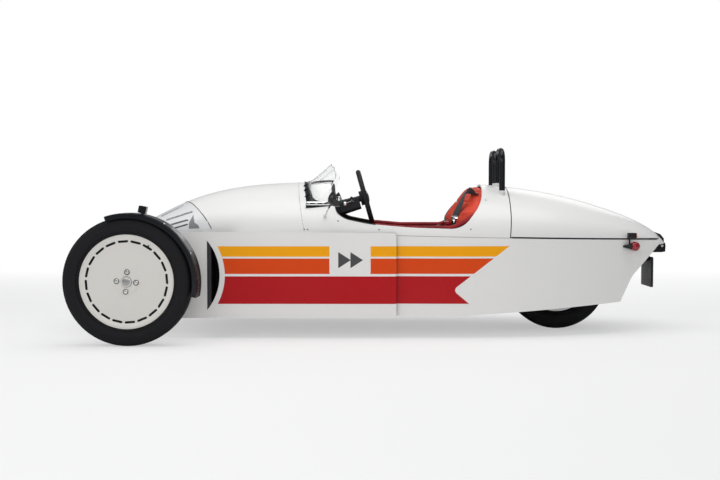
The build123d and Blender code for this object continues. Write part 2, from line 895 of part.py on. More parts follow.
# ---------------------------------------------------------------- front running gear
kingpin_y = 745.0
lower_ball_z = 243.0
upper_ball_z = 477.0
ball_radius = 18.0
lower_pivot_z = 290.0
upper_pivot_z = 500.0
pivot_y = 362.0
lower_pivot_spread = (-118.0, 122.0)
upper_pivot_spread = (-98.0, 102.0)
bush_radius = 15.0
bush_length = 36.0
arm_tube = 12.0
upright_half = 26.0
upright_inner_y = 722.0
upright_outer_y = 767.0
spindle_radius = 18.5
spindle_clearance = 0.3
disc_radius = 150.0
steering_arm_length = 120.0
steering_arm_z = 300.0
steering_arm_thickness = 12.0
rack_radius = 10.0
rack_z = steering_arm_z + steering_arm_thickness + 2 + rack_radius
rack_x = front_axle_x + steering_arm_length
damper_y = 620.0
damper_top_y = 345.0
damper_top_z = 520.0


def axle_point(dx, y, z):
    """A point on the left side, given ahead of or behind the front axle."""
    return (front_axle_x + dx, -y, z)


def make_wishbone(ball_z, pivot_z, spread, brace):
    """One left wishbone: two legs from the ball to the bushes on the nose."""
    ball = Pos(*axle_point(0, kingpin_y, ball_z)) * Sphere(ball_radius)
    arm = ball
    for dx in spread:
        arm = arm + rod(axle_point(dx, pivot_y, pivot_z), axle_point(0, kingpin_y, ball_z), arm_tube)
        half = bush_length / 2
        arm = arm + rod(
            axle_point(dx - half, pivot_y, pivot_z), axle_point(dx + half, pivot_y, pivot_z), bush_radius
        )
    if brace:
        share = (damper_y - pivot_y) / (kingpin_y - pivot_y)
        z = pivot_z + (ball_z - pivot_z) * share
        ends = [axle_point(dx * (1 - share), damper_y, z) for dx in spread]
        arm = arm + rod(ends[0], ends[1], arm_tube)
    return arm


def brace_z():
    share = (damper_y - pivot_y) / (kingpin_y - pivot_y)
    return lower_pivot_z + (lower_ball_z - lower_pivot_z) * share


def make_lugs():
    """Left lugs on the nose casting that the bushes and the damper seat against."""
    lugs = []
    for z, spread in ((lower_pivot_z, lower_pivot_spread), (upper_pivot_z, upper_pivot_spread)):
        for dx in spread:
            low = block(
                front_axle_x + dx - bush_length / 2,
                front_axle_x + dx + bush_length / 2,
                -pivot_y + bush_radius + seat_gap,
                -200,
                z - bush_radius,
                z + bush_radius,
            )
            lugs.append(low)
    top = block(
        front_axle_x - 16, front_axle_x + 16, -damper_top_y + 16, -200, damper_top_z - 16, damper_top_z + 16
    )
    lugs.append(top)
    cut = []
    for lug in lugs:
        piece = (lug - inner).solids().sort_by(Axis.Y)[0]
        cut.append(piece)
    return cut


damper_foot_z = brace_z() + arm_tube + 14 + seat_gap


damper_rod = 8.0
damper_body = 20.0
spring_core = 24.0
spring_radius = 32.0
spring_turns = 6


def make_damper():
    """Left coil-over damper, between the lower wishbone's brace and the nose lug."""
    foot = Vector(axle_point(0, damper_y, damper_foot_z))
    head = Vector(axle_point(0, damper_top_y + seat_gap, damper_top_z))
    run = head - foot
    low = 0.12 * run.length
    high = 0.86 * run.length
    profile = [(0, 0), (damper_body, 0), (damper_body, low), (spring_radius + 2, low)]
    profile.append((spring_radius + 2, low + 5))
    pitch = (high - low - 10) / spring_turns
    for index in range(spring_turns):
        start = low + 5 + index * pitch
        profile.append((spring_core, start))
        profile.append((spring_core, start + 0.35 * pitch))
        profile.append((spring_radius, start + 0.5 * pitch))
        profile.append((spring_radius, start + 0.8 * pitch))
    profile.append((spring_core, high - 5))
    profile.append((spring_radius + 2, high - 5))
    profile.append((spring_radius + 2, high))
    profile.append((damper_rod, high))
    profile.append((damper_rod, run.length))
    profile.append((0, run.length))
    face = Face(Wire.make_polygon([Vector(radius, 0, along) for radius, along in profile], close=True))
    body = Plane(origin=foot, z_dir=run) * revolve(face, Axis.Z, 360)
    foot_eye = rod((foot.X - 14, foot.Y, foot.Z), (foot.X + 14, foot.Y, foot.Z), 14)
    head_eye = rod((head.X - 14, head.Y, head.Z), (head.X + 14, head.Y, head.Z), 15.7)
    return body + foot_eye + head_eye


def make_knuckle():
    """Left upright with its spindle, steering arm and brake caliper."""
    low = lower_ball_z + ball_radius + seat_gap
    top = upper_ball_z - ball_radius - seat_gap
    upright = block(
        front_axle_x - upright_half,
        front_axle_x + upright_half,
        -upright_outer_y,
        -upright_inner_y,
        low,
        top,
    )
    flange_plate = pin_y(front_axle_x, front_axle_z, 46, -upright_outer_y, -upright_inner_y)
    spindle = pin_y(front_axle_x, front_axle_z, spindle_radius, -wheel_y - 34, -upright_outer_y)
    arm = block(
        front_axle_x,
        rack_x,
        -upright_inner_y - 20,
        -upright_inner_y + 6,
        steering_arm_z,
        steering_arm_z + steering_arm_thickness,
    )
    arm_end = rod(
        (rack_x, -upright_inner_y - 7, steering_arm_z),
        (rack_x, -upright_inner_y - 7, steering_arm_z + steering_arm_thickness),
        17,
    )
    outer_face = wheel_y - 22
    inner_face = wheel_y - 70
    caliper = block(
        front_axle_x - 168, front_axle_x - 96, -outer_face, -inner_face, front_axle_z - 46, front_axle_z + 46
    )
    slot = pin_y(front_axle_x, front_axle_z, disc_radius + 6, -wheel_y + 35, -wheel_y + 55)
    bracket = block(
        front_axle_x - 130, front_axle_x, -inner_face - 4, -upright_inner_y - 20, front_axle_z - 16, front_axle_z + 16
    )
    return upright + flange_plate + spindle + arm + arm_end + bracket + (caliper - slot)


def make_brake_disc(y):
    profile = [(24, -50), (disc_radius, -50), (disc_radius, -40), (56, -40), (56, -30.3), (24, -30.3)]
    disc = turned(profile, front_axle_x, -y, front_axle_z, -1)
    holes = []
    for index in range(18):
        angle = math.radians(index * 20)
        for radius in (88, 126):
            turn = angle + radius
            x = front_axle_x + radius * math.cos(turn)
            z = front_axle_z + radius * math.sin(turn)
            holes.append(pin_y(x, z, 5, -y, -y + 60))
    return disc - holes


front_rim = front_rim_diameter / 2
slot_count = 20
slot_first = -4.4
slot_length = 58.0
slot_width = 13.0
lug_circle = 108.0
lug_count = 4


def make_front_wheel():
    """Left front wheel: a rim with a flat slotted disc and a plain cap."""
    bore = spindle_radius + spindle_clearance
    rim = front_rim
    profile = [
        (bore, -30),
        (45, -30),
        (45, 28),
        (rim - 40, 34),
        (rim - 26, 30),
        (rim - 26, -46),
        (rim, -48),
        (rim, -43),
        (rim - 14, -37),
        (rim - 14, 37),
        (rim, 43),
        (rim, 48),
        (rim - 12, 49),
        (rim - 30, 44),
        (67, 47),
        (67, 49),
        (28, 49),
        (28, 54),
        (0, 55),
        (0, 40),
        (bore, 40),
    ]
    wheel = turned(profile, front_axle_x, -wheel_y, front_axle_z, -1)
    slots = []
    ring = 0.855 * rim
    for index in range(slot_count):
        turn = slot_first + index * 360 / slot_count
        slot = extrude(SlotOverall(slot_length, slot_width), 60)
        slot = Pos(front_axle_x, -wheel_y - 20, front_axle_z) * Rot(0, turn, 0) * (
            Pos(0, 0, ring) * Rot(90, 0, 0) * slot
        )
        slots.append(slot)
    for index in range(lug_count):
        turn = math.radians(slot_first + index * 360 / lug_count)
        x = front_axle_x + lug_circle / 2 * math.cos(turn)
        z = front_axle_z + lug_circle / 2 * math.sin(turn)
        slots.append(pin_y(x, z, 11, -wheel_y - 60, -wheel_y - 42))
    return wheel - slots


def tyre_profile(radius, half, rim, rim_half, shoulder):
    """Right half to left half of a tyre's section: bead, side wall, shoulder, tread."""
    bulge = rim + 0.42 * (radius - rim)
    side = [
        (rim - 14 + seat_gap, rim_half - 7),
        (rim + 1, rim_half - 1),
        (rim + 4, rim_half + 8),
        (bulge, half),
        (rim + 0.72 * (radius - rim), half - 2),
        (radius - 9, half - shoulder),
        (radius - 2, half - 2.25 * shoulder),
        (radius, 0),
    ]
    other = [(r, -y) for r, y in reversed(side[:-1])]
    return side + other


def make_front_tyre():
    profile = tyre_profile(front_tyre_diameter / 2, front_tyre_width / 2, front_rim, 44, tyre_shoulder)
    return turned(profile, front_axle_x, -wheel_y, front_axle_z, -1)


guard_radius = 389.0
guard_shift = (8.5, -7.7)
guard_half = 75.0
guard_sheet = 5.0
guard_lip = 30.0
guard_front = -18.6
guard_rear = 101.7


def make_guard():
    """Left mudguard: a channel over the tyre, its stays and its flasher body."""
    centre = (front_axle_x + guard_shift[0], -wheel_y, front_axle_z + guard_shift[1])
    crown = 4.0
    profile = [
        (guard_radius - guard_lip, guard_half),
        (guard_radius - crown, guard_half),
        (guard_radius, guard_half - 14),
        (guard_radius, 14 - guard_half),
        (guard_radius - crown, -guard_half),
        (guard_radius - guard_lip, -guard_half),
        (guard_radius - guard_lip, guard_sheet - guard_half),
        (guard_radius - guard_sheet, guard_sheet - guard_half),
        (guard_radius - guard_sheet, guard_half - guard_sheet),
        (guard_radius - guard_lip, guard_half - guard_sheet),
    ]
    corners = [Vector(radius, -lateral, 0) for radius, lateral in profile]
    face = Face(Wire.make_polygon(corners, close=True))
    sweep_angle = guard_rear - guard_front
    ring = revolve(face, Axis.Y, sweep_angle)
    ring = Pos(*centre) * Rot(0, -90 + guard_rear - sweep_angle, 0) * ring
    plane_y = wheel_y - guard_half
    stays = []
    for turn, start, along in ((2.0, 80.0, 0.0), (72.0, 20.0, 0.0)):
        end = guard_radius - 14
        half = 12.0
        c, s = math.cos(math.radians(turn)), math.sin(math.radians(turn))
        points = [
            (front_axle_x + s * start - c * half, front_axle_z + c * start + s * half),
            (front_axle_x + s * end - c * half, front_axle_z + c * end + s * half),
            (front_axle_x + s * end + c * half, front_axle_z + c * end - s * half),
            (front_axle_x + s * start + c * half, front_axle_z + c * start - s * half),
        ]
        stays.append(side_plate(points, -plane_y, -plane_y + 8))
    return ring, stays


flasher_turn = 12.0


def make_front_flasher():
    """Left front flasher standing on the crown of the mudguard, and its lens."""
    turn = math.radians(flasher_turn)
    foot = guard_radius + guard_shift[0] * math.sin(turn) + guard_shift[1] * math.cos(turn)
    base = Pos(front_axle_x, -wheel_y, front_axle_z) * Rot(0, flasher_turn, 0)
    body = base * Pos(4, 0, foot + 24) * Box(36, 40, 40)
    stem = base * Pos(4, 0, foot + 1.5) * Box(12, 16, 9)
    lens = base * Pos(-14 - 4 - seat_gap, 0, foot + 24) * Box(8, 38, 38)
    return body + stem, lens


def make_rack():
    """Rack bar with its tie rods and their ends over the steering arms."""
    end = upright_inner_y + 7
    bar = pin_y(rack_x, rack_z, rack_radius, -end, end)
    for y in (-end, end):
        bar = bar + rod((rack_x, y, rack_z - 8), (rack_x, y, rack_z + 8), 16)
    for y in (-460, 460):
        gaiter = pin_y(rack_x, rack_z, 17, y - 12, y + 12)
        bar = bar + gaiter
    return bar


def make_rack_housing():
    half = 262
    tube = pin_y(rack_x, rack_z, 26, -half, half)
    feet = []
    for y in (-200, 200):
        foot = block(rack_x - 15, rack_x + 15, y - 15, y + 15, 0, rack_z) & lining
        feet.append(foot)
    housing = tube
    for foot in feet:
        housing = housing + foot
    return housing - pin_y(rack_x, rack_z, rack_radius + 1, -500, 500)


lower_arm = make_wishbone(lower_ball_z, lower_pivot_z, lower_pivot_spread, True)
upper_arm = make_wishbone(upper_ball_z, upper_pivot_z, upper_pivot_spread, False)
save("wishbones", both_sides(lower_arm), both_sides(upper_arm))
save("front_dampers", both_sides(make_damper()))
rack_hole = pin_y(rack_x, rack_z, rack_radius + 8, -700, 700)
for lug in make_lugs():
    nose = nose + lug + mirrored(lug)
nose = nose - rack_hole
save("nose_cowl", nose)
save("steering_rack", make_rack())
save("rack_housing", make_rack_housing())

knuckle = make_knuckle()
front_disc = make_brake_disc(wheel_y)
front_wheel = make_front_wheel()
front_tyre = make_front_tyre()
guard_ring, guard_stays = make_guard()
guard = guard_ring + guard_stays - knuckle
guard = guard.solids().sort_by(SortBy.VOLUME)[-1]
flasher, flasher_lens = make_front_flasher()
guard = (guard + flasher).solids().sort_by(SortBy.VOLUME)[-1]
for side, turned_over in (("left", False), ("right", True)):
    pieces = {
        "knuckle": knuckle,
        "brake_disc": front_disc,
        "front_wheel": front_wheel,
        "front_tyre": front_tyre,
        "mudguard": guard,
        "front_flasher_lens": flasher_lens,
    }
    for name, solid in pieces.items():
        save(f"{name}_{side}", mirrored(solid) if turned_over else solid)

# ---------------------------------------------------------------- rear running gear
arm_inner_y = 145.0
arm_outer_y = 168.0
arm_pivot_x = 745.0
arm_pivot_z = 300.0
arm_height = 56.0
rear_axle_radius = 13.0
rear_rim = rear_rim_diameter / 2


def make_swing_arm():
    """Two side arms, the pivot tube across the hull, a cross brace and the fixed axle."""
    half = arm_height / 2
    points = [
        (arm_pivot_x, arm_pivot_z - half),
        (rear_axle_x + 40, rear_axle_z - half + 8),
        (rear_axle_x + 40, rear_axle_z + half - 8),
        (arm_pivot_x, arm_pivot_z + half),
    ]
    left = side_plate(points, -arm_outer_y, -arm_inner_y)
    tube = pin_y(arm_pivot_x, arm_pivot_z, 24, -tub_half_width + tub_wall + seat_gap, tub_half_width - tub_wall - seat_gap)
    axle = pin_y(rear_axle_x, rear_axle_z, rear_axle_radius, -arm_outer_y - 6, arm_outer_y + 6)
    return left + mirrored(left) + tube + axle


def make_rear_wheel():
    bore = rear_axle_radius + spindle_clearance
    rim = rear_rim
    profile = [
        (bore, -arm_inner_y + 6),
        (42, -arm_inner_y + 6),
        (42, -14),
        (rim - 26, -12),
        (rim - 26, -80),
        (rim, -84),
        (rim, -78),
        (rim - 14, -70),
        (rim - 14, 70),
        (rim, 78),
        (rim, 84),
        (rim - 26, 80),
        (rim - 26, 12),
        (42, 14),
        (42, arm_inner_y - 6),
        (bore, arm_inner_y - 6),
    ]
    wheel = turned(profile, rear_axle_x, 0, rear_axle_z, -1)
    windows = []
    for index in range(8):
        turn = math.radians(index * 45)
        x = rear_axle_x + (rim + 8) / 2 * math.cos(turn)
        z = rear_axle_z + (rim + 8) / 2 * math.sin(turn)
        windows.append(pin_y(x, z, 26, -60, 60))
    return wheel - windows


def make_rear_tyre():
    profile = tyre_profile(rear_tyre_diameter / 2, rear_tyre_width / 2, rear_rim, 77, tyre_shoulder)
    return turned(profile, rear_axle_x, 0, rear_axle_z, -1)


save("swing_arm", make_swing_arm())
save("rear_wheel", make_rear_wheel())
save("rear_tyre", make_rear_tyre())
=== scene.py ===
import math

import bmesh
import bpy
from mathutils import Matrix, Vector
from mathutils.bvhtree import BVHTree


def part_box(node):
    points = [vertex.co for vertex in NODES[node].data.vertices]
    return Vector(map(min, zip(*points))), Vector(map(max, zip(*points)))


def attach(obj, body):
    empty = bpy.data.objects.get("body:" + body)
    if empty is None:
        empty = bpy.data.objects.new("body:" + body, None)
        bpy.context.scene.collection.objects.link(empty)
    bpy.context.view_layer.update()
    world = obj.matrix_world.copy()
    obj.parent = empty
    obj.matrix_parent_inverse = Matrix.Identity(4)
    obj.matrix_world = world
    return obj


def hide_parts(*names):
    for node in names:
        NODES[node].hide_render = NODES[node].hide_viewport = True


bl_info = {
    "name": "Three-wheeled car dressing",
    "version": (1, 0, 0),
    "blender": (4, 5, 0),
    "location": "View3D > Sidebar > Car",
    "description": "Finishes, soft trim, lamps and small fittings around the car's packed solids",
    "category": "Object",
}

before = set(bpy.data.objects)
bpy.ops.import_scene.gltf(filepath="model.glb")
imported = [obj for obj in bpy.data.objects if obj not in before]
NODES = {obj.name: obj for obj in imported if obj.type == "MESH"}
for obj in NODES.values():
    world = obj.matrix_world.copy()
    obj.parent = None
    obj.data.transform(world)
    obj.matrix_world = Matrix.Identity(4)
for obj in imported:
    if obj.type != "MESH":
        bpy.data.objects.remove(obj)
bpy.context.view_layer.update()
SIDES = (("left", -1.0), ("right", 1.0))
BODY = "chassis"
AXLE_X, WHEEL_Y, AXLE_Z = -1.432, 0.850, 0.358
REAR_AXLE = Vector((1.090, 0.0, 0.318))


# ---------------------------------------------------------------- settings
class CarFinishSettings(bpy.types.PropertyGroup):
    """Colours of the paint, trim and stripes."""

    paint: bpy.props.FloatVectorProperty(
        name="Body paint", description="White of the body panels", subtype="COLOR",
        size=3, min=0.0, max=1.0, default=(0.76, 0.755, 0.735),
    )
    disc_paint: bpy.props.FloatVectorProperty(
        name="Wheel disc paint", description="Warm white of the wheel discs", subtype="COLOR",
        size=3, min=0.0, max=1.0, default=(0.66, 0.64, 0.60),
    )
    yellow: bpy.props.FloatVectorProperty(
        name="Upper stripe", description="Top stripe along the side", subtype="COLOR",
        size=3, min=0.0, max=1.0, default=(0.86, 0.36, 0.0),
    )
    orange: bpy.props.FloatVectorProperty(
        name="Middle stripe", description="Middle stripe along the side", subtype="COLOR",
        size=3, min=0.0, max=1.0, default=(0.66, 0.058, 0.001),
    )
    red: bpy.props.FloatVectorProperty(
        name="Lower stripe", description="Broad bottom stripe along the side", subtype="COLOR",
        size=3, min=0.0, max=1.0, default=(0.42, 0.002, 0.006),
    )
    leather: bpy.props.FloatVectorProperty(
        name="Seat leather", description="Orange red of the seats", subtype="COLOR",
        size=3, min=0.0, max=1.0, default=(0.60, 0.050, 0.020),
    )
    roll_leather: bpy.props.FloatVectorProperty(
        name="Cockpit roll leather", description="Deeper red of the padded rolls", subtype="COLOR",
        size=3, min=0.0, max=1.0, default=(0.23, 0.004, 0.008),
    )


class CarSizeSettings(bpy.types.PropertyGroup):
    """Sizes of the small fittings that the dressing adds."""

    screw_radius: bpy.props.FloatProperty(
        name="Panel screw radius", description="Head radius of the panel screws", unit="LENGTH",
        min=0.002, max=0.02, default=0.006,
    )
    tread_depth: bpy.props.FloatProperty(
        name="Tread depth", description="Depth of the tyre grooves", unit="LENGTH",
        min=0.002, max=0.012, default=0.006,
    )
    belt_width: bpy.props.FloatProperty(
        name="Belt width", description="Width of the seat belt webbing", unit="LENGTH",
        min=0.03, max=0.06, default=0.046,
    )


def shade(colour):
    """A colour as it is written, or one of the panel's colours by its name."""
    if isinstance(colour, str):
        return tuple(getattr(bpy.context.scene.car_finish, colour))
    return colour


def scaled(colour, factor):
    """A lighter or darker colour, no brighter than white."""
    return tuple(min(1.0, part * factor) for part in colour)


# ---------------------------------------------------------------- shader maths
class Wire:
    """A shader socket that sums, products and comparisons can use."""

    def __init__(self, finish, socket):
        self.finish = finish
        self.socket = socket

    def _join(self, operation, *terms):
        return self.finish.node("ShaderNodeMath", {"operation": operation}, dict(enumerate(terms)))

    def __add__(self, other):
        return self._join("ADD", self, other)

    __radd__ = __add__

    def __mul__(self, other):
        return self._join("MULTIPLY", self, other)

    __rmul__ = __mul__

    def __sub__(self, other):
        return self._join("SUBTRACT", self, other)

    def __rsub__(self, other):
        return self._join("SUBTRACT", other, self)

    def __gt__(self, other):
        return self._join("GREATER_THAN", self, other)

    def __lt__(self, other):
        return self._join("LESS_THAN", self, other)

    def __pow__(self, other):
        return self._join("POWER", self, other)

    def high(self, other):
        """The greater of the two."""
        return self._join("MAXIMUM", self, other)

    def size(self):
        """The value without its sign."""
        return self._join("ABSOLUTE", self)

    def root(self):
        return self._join("SQRT", self)

    def wave(self):
        return self._join("SINE", self)


NORMAL_OUTPUT, OBJECT_OUTPUT = 1, 3
MIX_FACTOR, MIX_FIRST, MIX_SECOND, MIX_RESULT = 0, 6, 7, 2
PAINT_EDGE = 0.0005


class Finish:
    """One material, with its nodes made through a single method."""

    def __init__(self, name, **values):
        self.material = bpy.data.materials.new(name)
        self.material.use_nodes = True
        self.tree = self.material.node_tree
        self.tree.nodes.clear()
        self.shader = self.tree.nodes.new("ShaderNodeBsdfPrincipled")
        self.output = self.tree.nodes.new("ShaderNodeOutputMaterial")
        self.tree.links.new(self.shader.outputs[0], self.output.inputs["Surface"])
        self.point = None
        self.coordinates = None
        self.set(**values)

    def feed(self, socket, value):
        if isinstance(value, Wire):
            self.tree.links.new(value.socket, socket)
        elif isinstance(value, (tuple, list)) and len(value) == 3 and socket.type == "RGBA":
            socket.default_value = (*value, 1.0)
        else:
            socket.default_value = value

    def node(self, kind, settings=None, inputs=None, output=0):
        """A node by its type, its settings and the values or wires of its sockets."""
        made = self.tree.nodes.new(kind)
        for key, value in (settings or {}).items():
            setattr(made, key, value)
        for key, value in (inputs or {}).items():
            self.feed(made.inputs[key], value)
        return Wire(self, made.outputs[output])

    def split(self, vector):
        """The X, Y and Z of a vector."""
        return tuple(
            self.node("ShaderNodeSeparateXYZ", inputs={0: vector}, output=index) for index in range(3)
        )

    def place(self):
        """X, Y and Z of the surface, in metres."""
        if self.coordinates is None:
            self.point = self.node("ShaderNodeTexCoord", output=OBJECT_OUTPUT)
            self.coordinates = self.split(self.point)
        return self.coordinates

    def facing(self):
        """X, Y and Z of the way the surface faces."""
        return self.split(self.node("ShaderNodeTexCoord", output=NORMAL_OUTPUT))

    def inner(self):
        """1 where a body panel faces the inside of the car, at the cockpit's end walls and in the side
        outlets: the places given near-black painted shade.
        """
        x, y, z = self.place()
        ahead, across, up = self.facing()
        facing_in = (across * y + up * (z - 0.42)) < -0.004
        cockpit_wall = (ahead.size() > 0.9) * (z < 0.60) * (x > -1.1) * (x < 1.4) * (y.size() < 0.50)
        # the recessed side outlets, which get painted shade
        outlet = (x < -0.90) * (y.size() > 0.20) * (z < 0.60) * (y.size() < 0.554)
        return facing_in.high(cockpit_wall).high(outlet)

    def noise(self, scale, detail=3.0, roughness=0.5, stretch=None):
        self.place()
        vector = self.point
        if stretch:
            vector = self.node("ShaderNodeMapping", inputs={"Vector": vector, "Scale": stretch})
        inputs = {"Vector": vector, "Scale": scale, "Detail": detail, "Roughness": roughness}
        return self.node("ShaderNodeTexNoise", inputs=inputs)

    def cells(self, scale):
        self.place()
        return self.node("ShaderNodeTexVoronoi", {"feature": "F1"}, {"Vector": self.point, "Scale": scale})

    def mix(self, mask, first, second):
        inputs = {MIX_FACTOR: mask, MIX_FIRST: first, MIX_SECOND: second}
        return self.node("ShaderNodeMix", {"data_type": "RGBA"}, inputs, MIX_RESULT)

    def remap(self, value, low, high, out_low=0.0, out_high=1.0):
        inputs = {"Value": value, "From Min": low, "From Max": high, "To Min": out_low, "To Max": out_high}
        return self.node("ShaderNodeMapRange", {"clamp": True}, inputs)

    def beyond(self, value, limit, soft=PAINT_EDGE):
        """1 past a limit, with a soft edge."""
        return self.remap(value, limit - soft, limit + soft)

    def band(self, value, low, high):
        """1 between two limits, with soft edges."""
        return self.beyond(value, low, 0.0004) * (1 - self.beyond(value, high, 0.0004))

    def bump(self, height, strength, distance):
        inputs = {"Height": height, "Strength": strength, "Distance": distance}
        self.set(Normal=self.node("ShaderNodeBump", inputs=inputs))

    def set(self, **values):
        """Values or wires of the surface's own sockets."""
        for key, value in values.items():
            self.feed(self.shader.inputs[key.replace("_", " ")], value)


def length_of(first, second):
    """Length of a vector from two of its parts."""
    return (first ** 2.0 + second ** 2.0).root()


# ---------------------------------------------------------------- finishes
def dressed_paint(name, colour, pattern=None, inside_shaded=True):
    """Gloss paint with a faint ripple, and painted shade: near-black and rough where a panel faces inwards.
    """
    made = Finish(name, Coat_Weight=0.06, Coat_Roughness=0.08, Specular_IOR_Level=0.16)
    dust = made.noise(1.4, 1.0, 0.4)
    base = shade(colour)
    if pattern:
        base = pattern(made, base)
    tint = made.mix(made.remap(dust, 0.2, 0.8, 0.0, 0.012), base, (0.55, 0.54, 0.52))
    rough = made.remap(dust, 0.2, 0.8, 0.24, 0.27)
    # painted shade on the faces inside the body
    if inside_shaded:
        inner = made.inner()
        tint = made.mix(inner, tint, (0.012, 0.012, 0.013))
        rough = rough + inner * 0.68
        made.set(Coat_Weight=(1 - inner) * 0.06)
    made.set(Base_Color=tint, Roughness=rough)
    made.bump(made.noise(420.0, 2.0), 0.02, 0.0004)
    return made


# colour, lower and upper edge of each stripe
STRIPE_BANDS = (("yellow", 0.4789, 0.5401), ("orange", 0.3781, 0.4684), ("red", 0.2025, 0.3640))
SIDE_FROM = 0.40
# the stripes start on an arc: X and Z of its centre, and its radius
STRIPE_START = (-1.2834, 0.3705, 0.3496)
# and end in a notch between two edges: X and Z of a point on each, and its slope
STRIPE_END_UPPER = (0.7226, 0.5324, 0.772)
STRIPE_END_LOWER = (0.4966, 0.2010, 0.84)
STRIPE_END_ROUNDING = 0.03
# middle, half length and half height of the plain patch, and its corners' radius
PATCH_MIDDLE = (-0.20195, 0.4685)
PATCH_HALF = (0.12005, 0.0965)
PATCH_CORNER = 0.0175
# the double arrow: where each one starts, its length, its middle height and half its height
ARROW_LEFTS = (-0.2707, -0.1995)
ARROW_LENGTH = 0.0735
ARROW_MIDDLE = 0.4591
ARROW_HALF = 0.0475


def striped(made, colour):
    """Three stripes along the side, cut back to a patch with a double arrow and a slanted end."""
    x, y, z = made.place()
    start_x, start_z, start_radius = STRIPE_START
    after = made.beyond(length_of(x - start_x, z - start_z), start_radius) * (x > start_x)
    upper_x, upper_z, upper_slope = STRIPE_END_UPPER
    lower_x, lower_z, lower_slope = STRIPE_END_LOWER
    rising = (z - upper_z) - (x - upper_x) * upper_slope
    falling = (z - lower_z) + (x - lower_x) * lower_slope
    below_upper = (0 - rising) * (1 / math.hypot(1, upper_slope))
    above_lower = falling * (1 / math.hypot(1, lower_slope))
    gaps = [(STRIPE_END_ROUNDING - inside).high(0.0) for inside in (below_upper, above_lower)]
    before_end = made.beyond(length_of(*gaps), STRIPE_END_ROUNDING)
    over = [
        ((value - middle).size() - (half - PATCH_CORNER)).high(0.0)
        for value, middle, half in zip((x, z), PATCH_MIDDLE, PATCH_HALF)
    ]
    outside_patch = made.beyond(length_of(*over), PATCH_CORNER)
    side = y.size() > SIDE_FROM
    shown = after * before_end * side * outside_patch
    for name, low, high in STRIPE_BANDS:
        colour = made.mix(made.band(z, low, high) * shown, colour, shade(name))
    arrows = 0.0
    for left in ARROW_LEFTS:
        along = (x - left) * (1 / ARROW_LENGTH)
        inside = (1 - along) * ARROW_HALF - (z - ARROW_MIDDLE).size()
        arrows = (made.beyond(inside, 0.0, 0.0004) * (along > 0.0)).high(arrows)
    return made.mix(arrows * side, colour, (0.068, 0.068, 0.07))


def metal(name, colour, roughness, spread=0.12, grain=(60, 60, 4)):
    """Bare metal with a drawn grain."""
    made = Finish(name, Metallic=1.0)
    streaks = made.noise(9.0, 4.0, 0.6, stretch=grain)
    made.set(
        Base_Color=made.mix(streaks, scaled(colour, 0.86), colour),
        Roughness=made.remap(streaks, 0.3, 0.7, roughness, roughness + spread),
    )
    made.bump(streaks, 0.05, 0.0004)
    return made


def moulded(name, colour, roughness, grain=900.0, strength=0.12):
    """Moulded plastic or powder coat with a fine grain."""
    made = Finish(name, Specular_IOR_Level=0.3)
    cloud = made.noise(6.0, 4.0)
    made.set(
        Base_Color=made.mix(cloud, scaled(colour, 0.8), scaled(colour, 1.25)),
        Roughness=made.remap(cloud, 0.3, 0.7, roughness - 0.05, roughness + 0.08),
    )
    made.bump(made.noise(grain, 2.0), strength, 0.0006)
    return made


def gloss_black(name, pattern=None):
    """Deep black enamel."""
    made = Finish(name, Coat_Weight=0.15, Coat_Roughness=0.06, Specular_IOR_Level=0.22)
    dust = made.noise(4.0, 6.0, 0.6)
    colour = made.mix(dust, (0.004, 0.005, 0.007), (0.008, 0.009, 0.012))
    if pattern:
        colour = pattern(made, colour)
    made.set(Base_Color=colour, Roughness=made.remap(dust, 0.3, 0.75, 0.16, 0.26))
    made.bump(made.noise(300.0, 2.0), 0.015, 0.0004)
    return made


def hoop_legs(made, colour):
    """White feet on the hoops below the black upper tube, which reach higher on the inner legs."""
    _, y, z = made.place()
    outer_leg = y.size() > 0.17
    outer = outer_leg * (z < 0.867)
    inner = (1 - outer_leg) * (z < 0.915)
    return made.mix(outer.high(inner), colour, (0.66, 0.65, 0.63))


def slot_shaded_disc(made, colour):
    """Painted shade: near-black behind and inside the slots of a wheel disc."""
    x, y, z = made.place()
    across = made.facing()[1]
    out = length_of(x - AXLE_X, z - AXLE_Z)
    slot_wall = (across.size() < 0.6) * (out > 0.180) * (out < 0.2335)
    behind = y.size() < 0.8915
    return made.mix(behind.high(slot_wall), colour, (0.010, 0.010, 0.011))


def mirror_paint(name):
    """Black mirror heads on bright stalks."""
    made = Finish(name)
    stalk = made.place()[1].size() < 0.5450
    cloud = made.noise(30.0, 4.0)
    black = made.mix(cloud, (0.008, 0.008, 0.009), (0.014, 0.014, 0.016))
    made.set(
        Base_Color=made.mix(stalk, black, (0.72, 0.72, 0.71)),
        Metallic=stalk,
        Roughness=made.remap(cloud, 0.3, 0.7, 0.20, 0.32),
    )
    made.bump(cloud, 0.03, 0.0004)
    return made


AMBER = (0.80, 0.20, 0.01)


def front_lens(name):
    """Amber moulding at the front of a black lamp body."""
    made = Finish(name, Coat_Weight=0.5, Coat_Roughness=0.05)
    lines = (made.place()[1] * 900.0).wave()
    made.set(
        Base_Color=made.mix(made.facing()[0] < -0.5, (0.010, 0.010, 0.012), AMBER),
        Roughness=made.remap(lines, -1.0, 1.0, 0.10, 0.18),
    )
    made.bump(lines, 0.1, 0.001)
    return made


def two_lenses(name):
    """Red lamps at the tail, with an amber flasher above."""
    made = Finish(name, Transmission_Weight=0.3, Coat_Weight=0.6, Coat_Roughness=0.04)
    _, y, z = made.place()
    lines = (z * 900.0).wave() + (y * 900.0).wave()
    made.set(
        Base_Color=made.mix(z > 0.56, (0.36, 0.0, 0.012), AMBER),
        Roughness=made.remap(lines, -2.0, 2.0, 0.06, 0.12),
    )
    made.bump(lines, 0.1, 0.001)
    return made


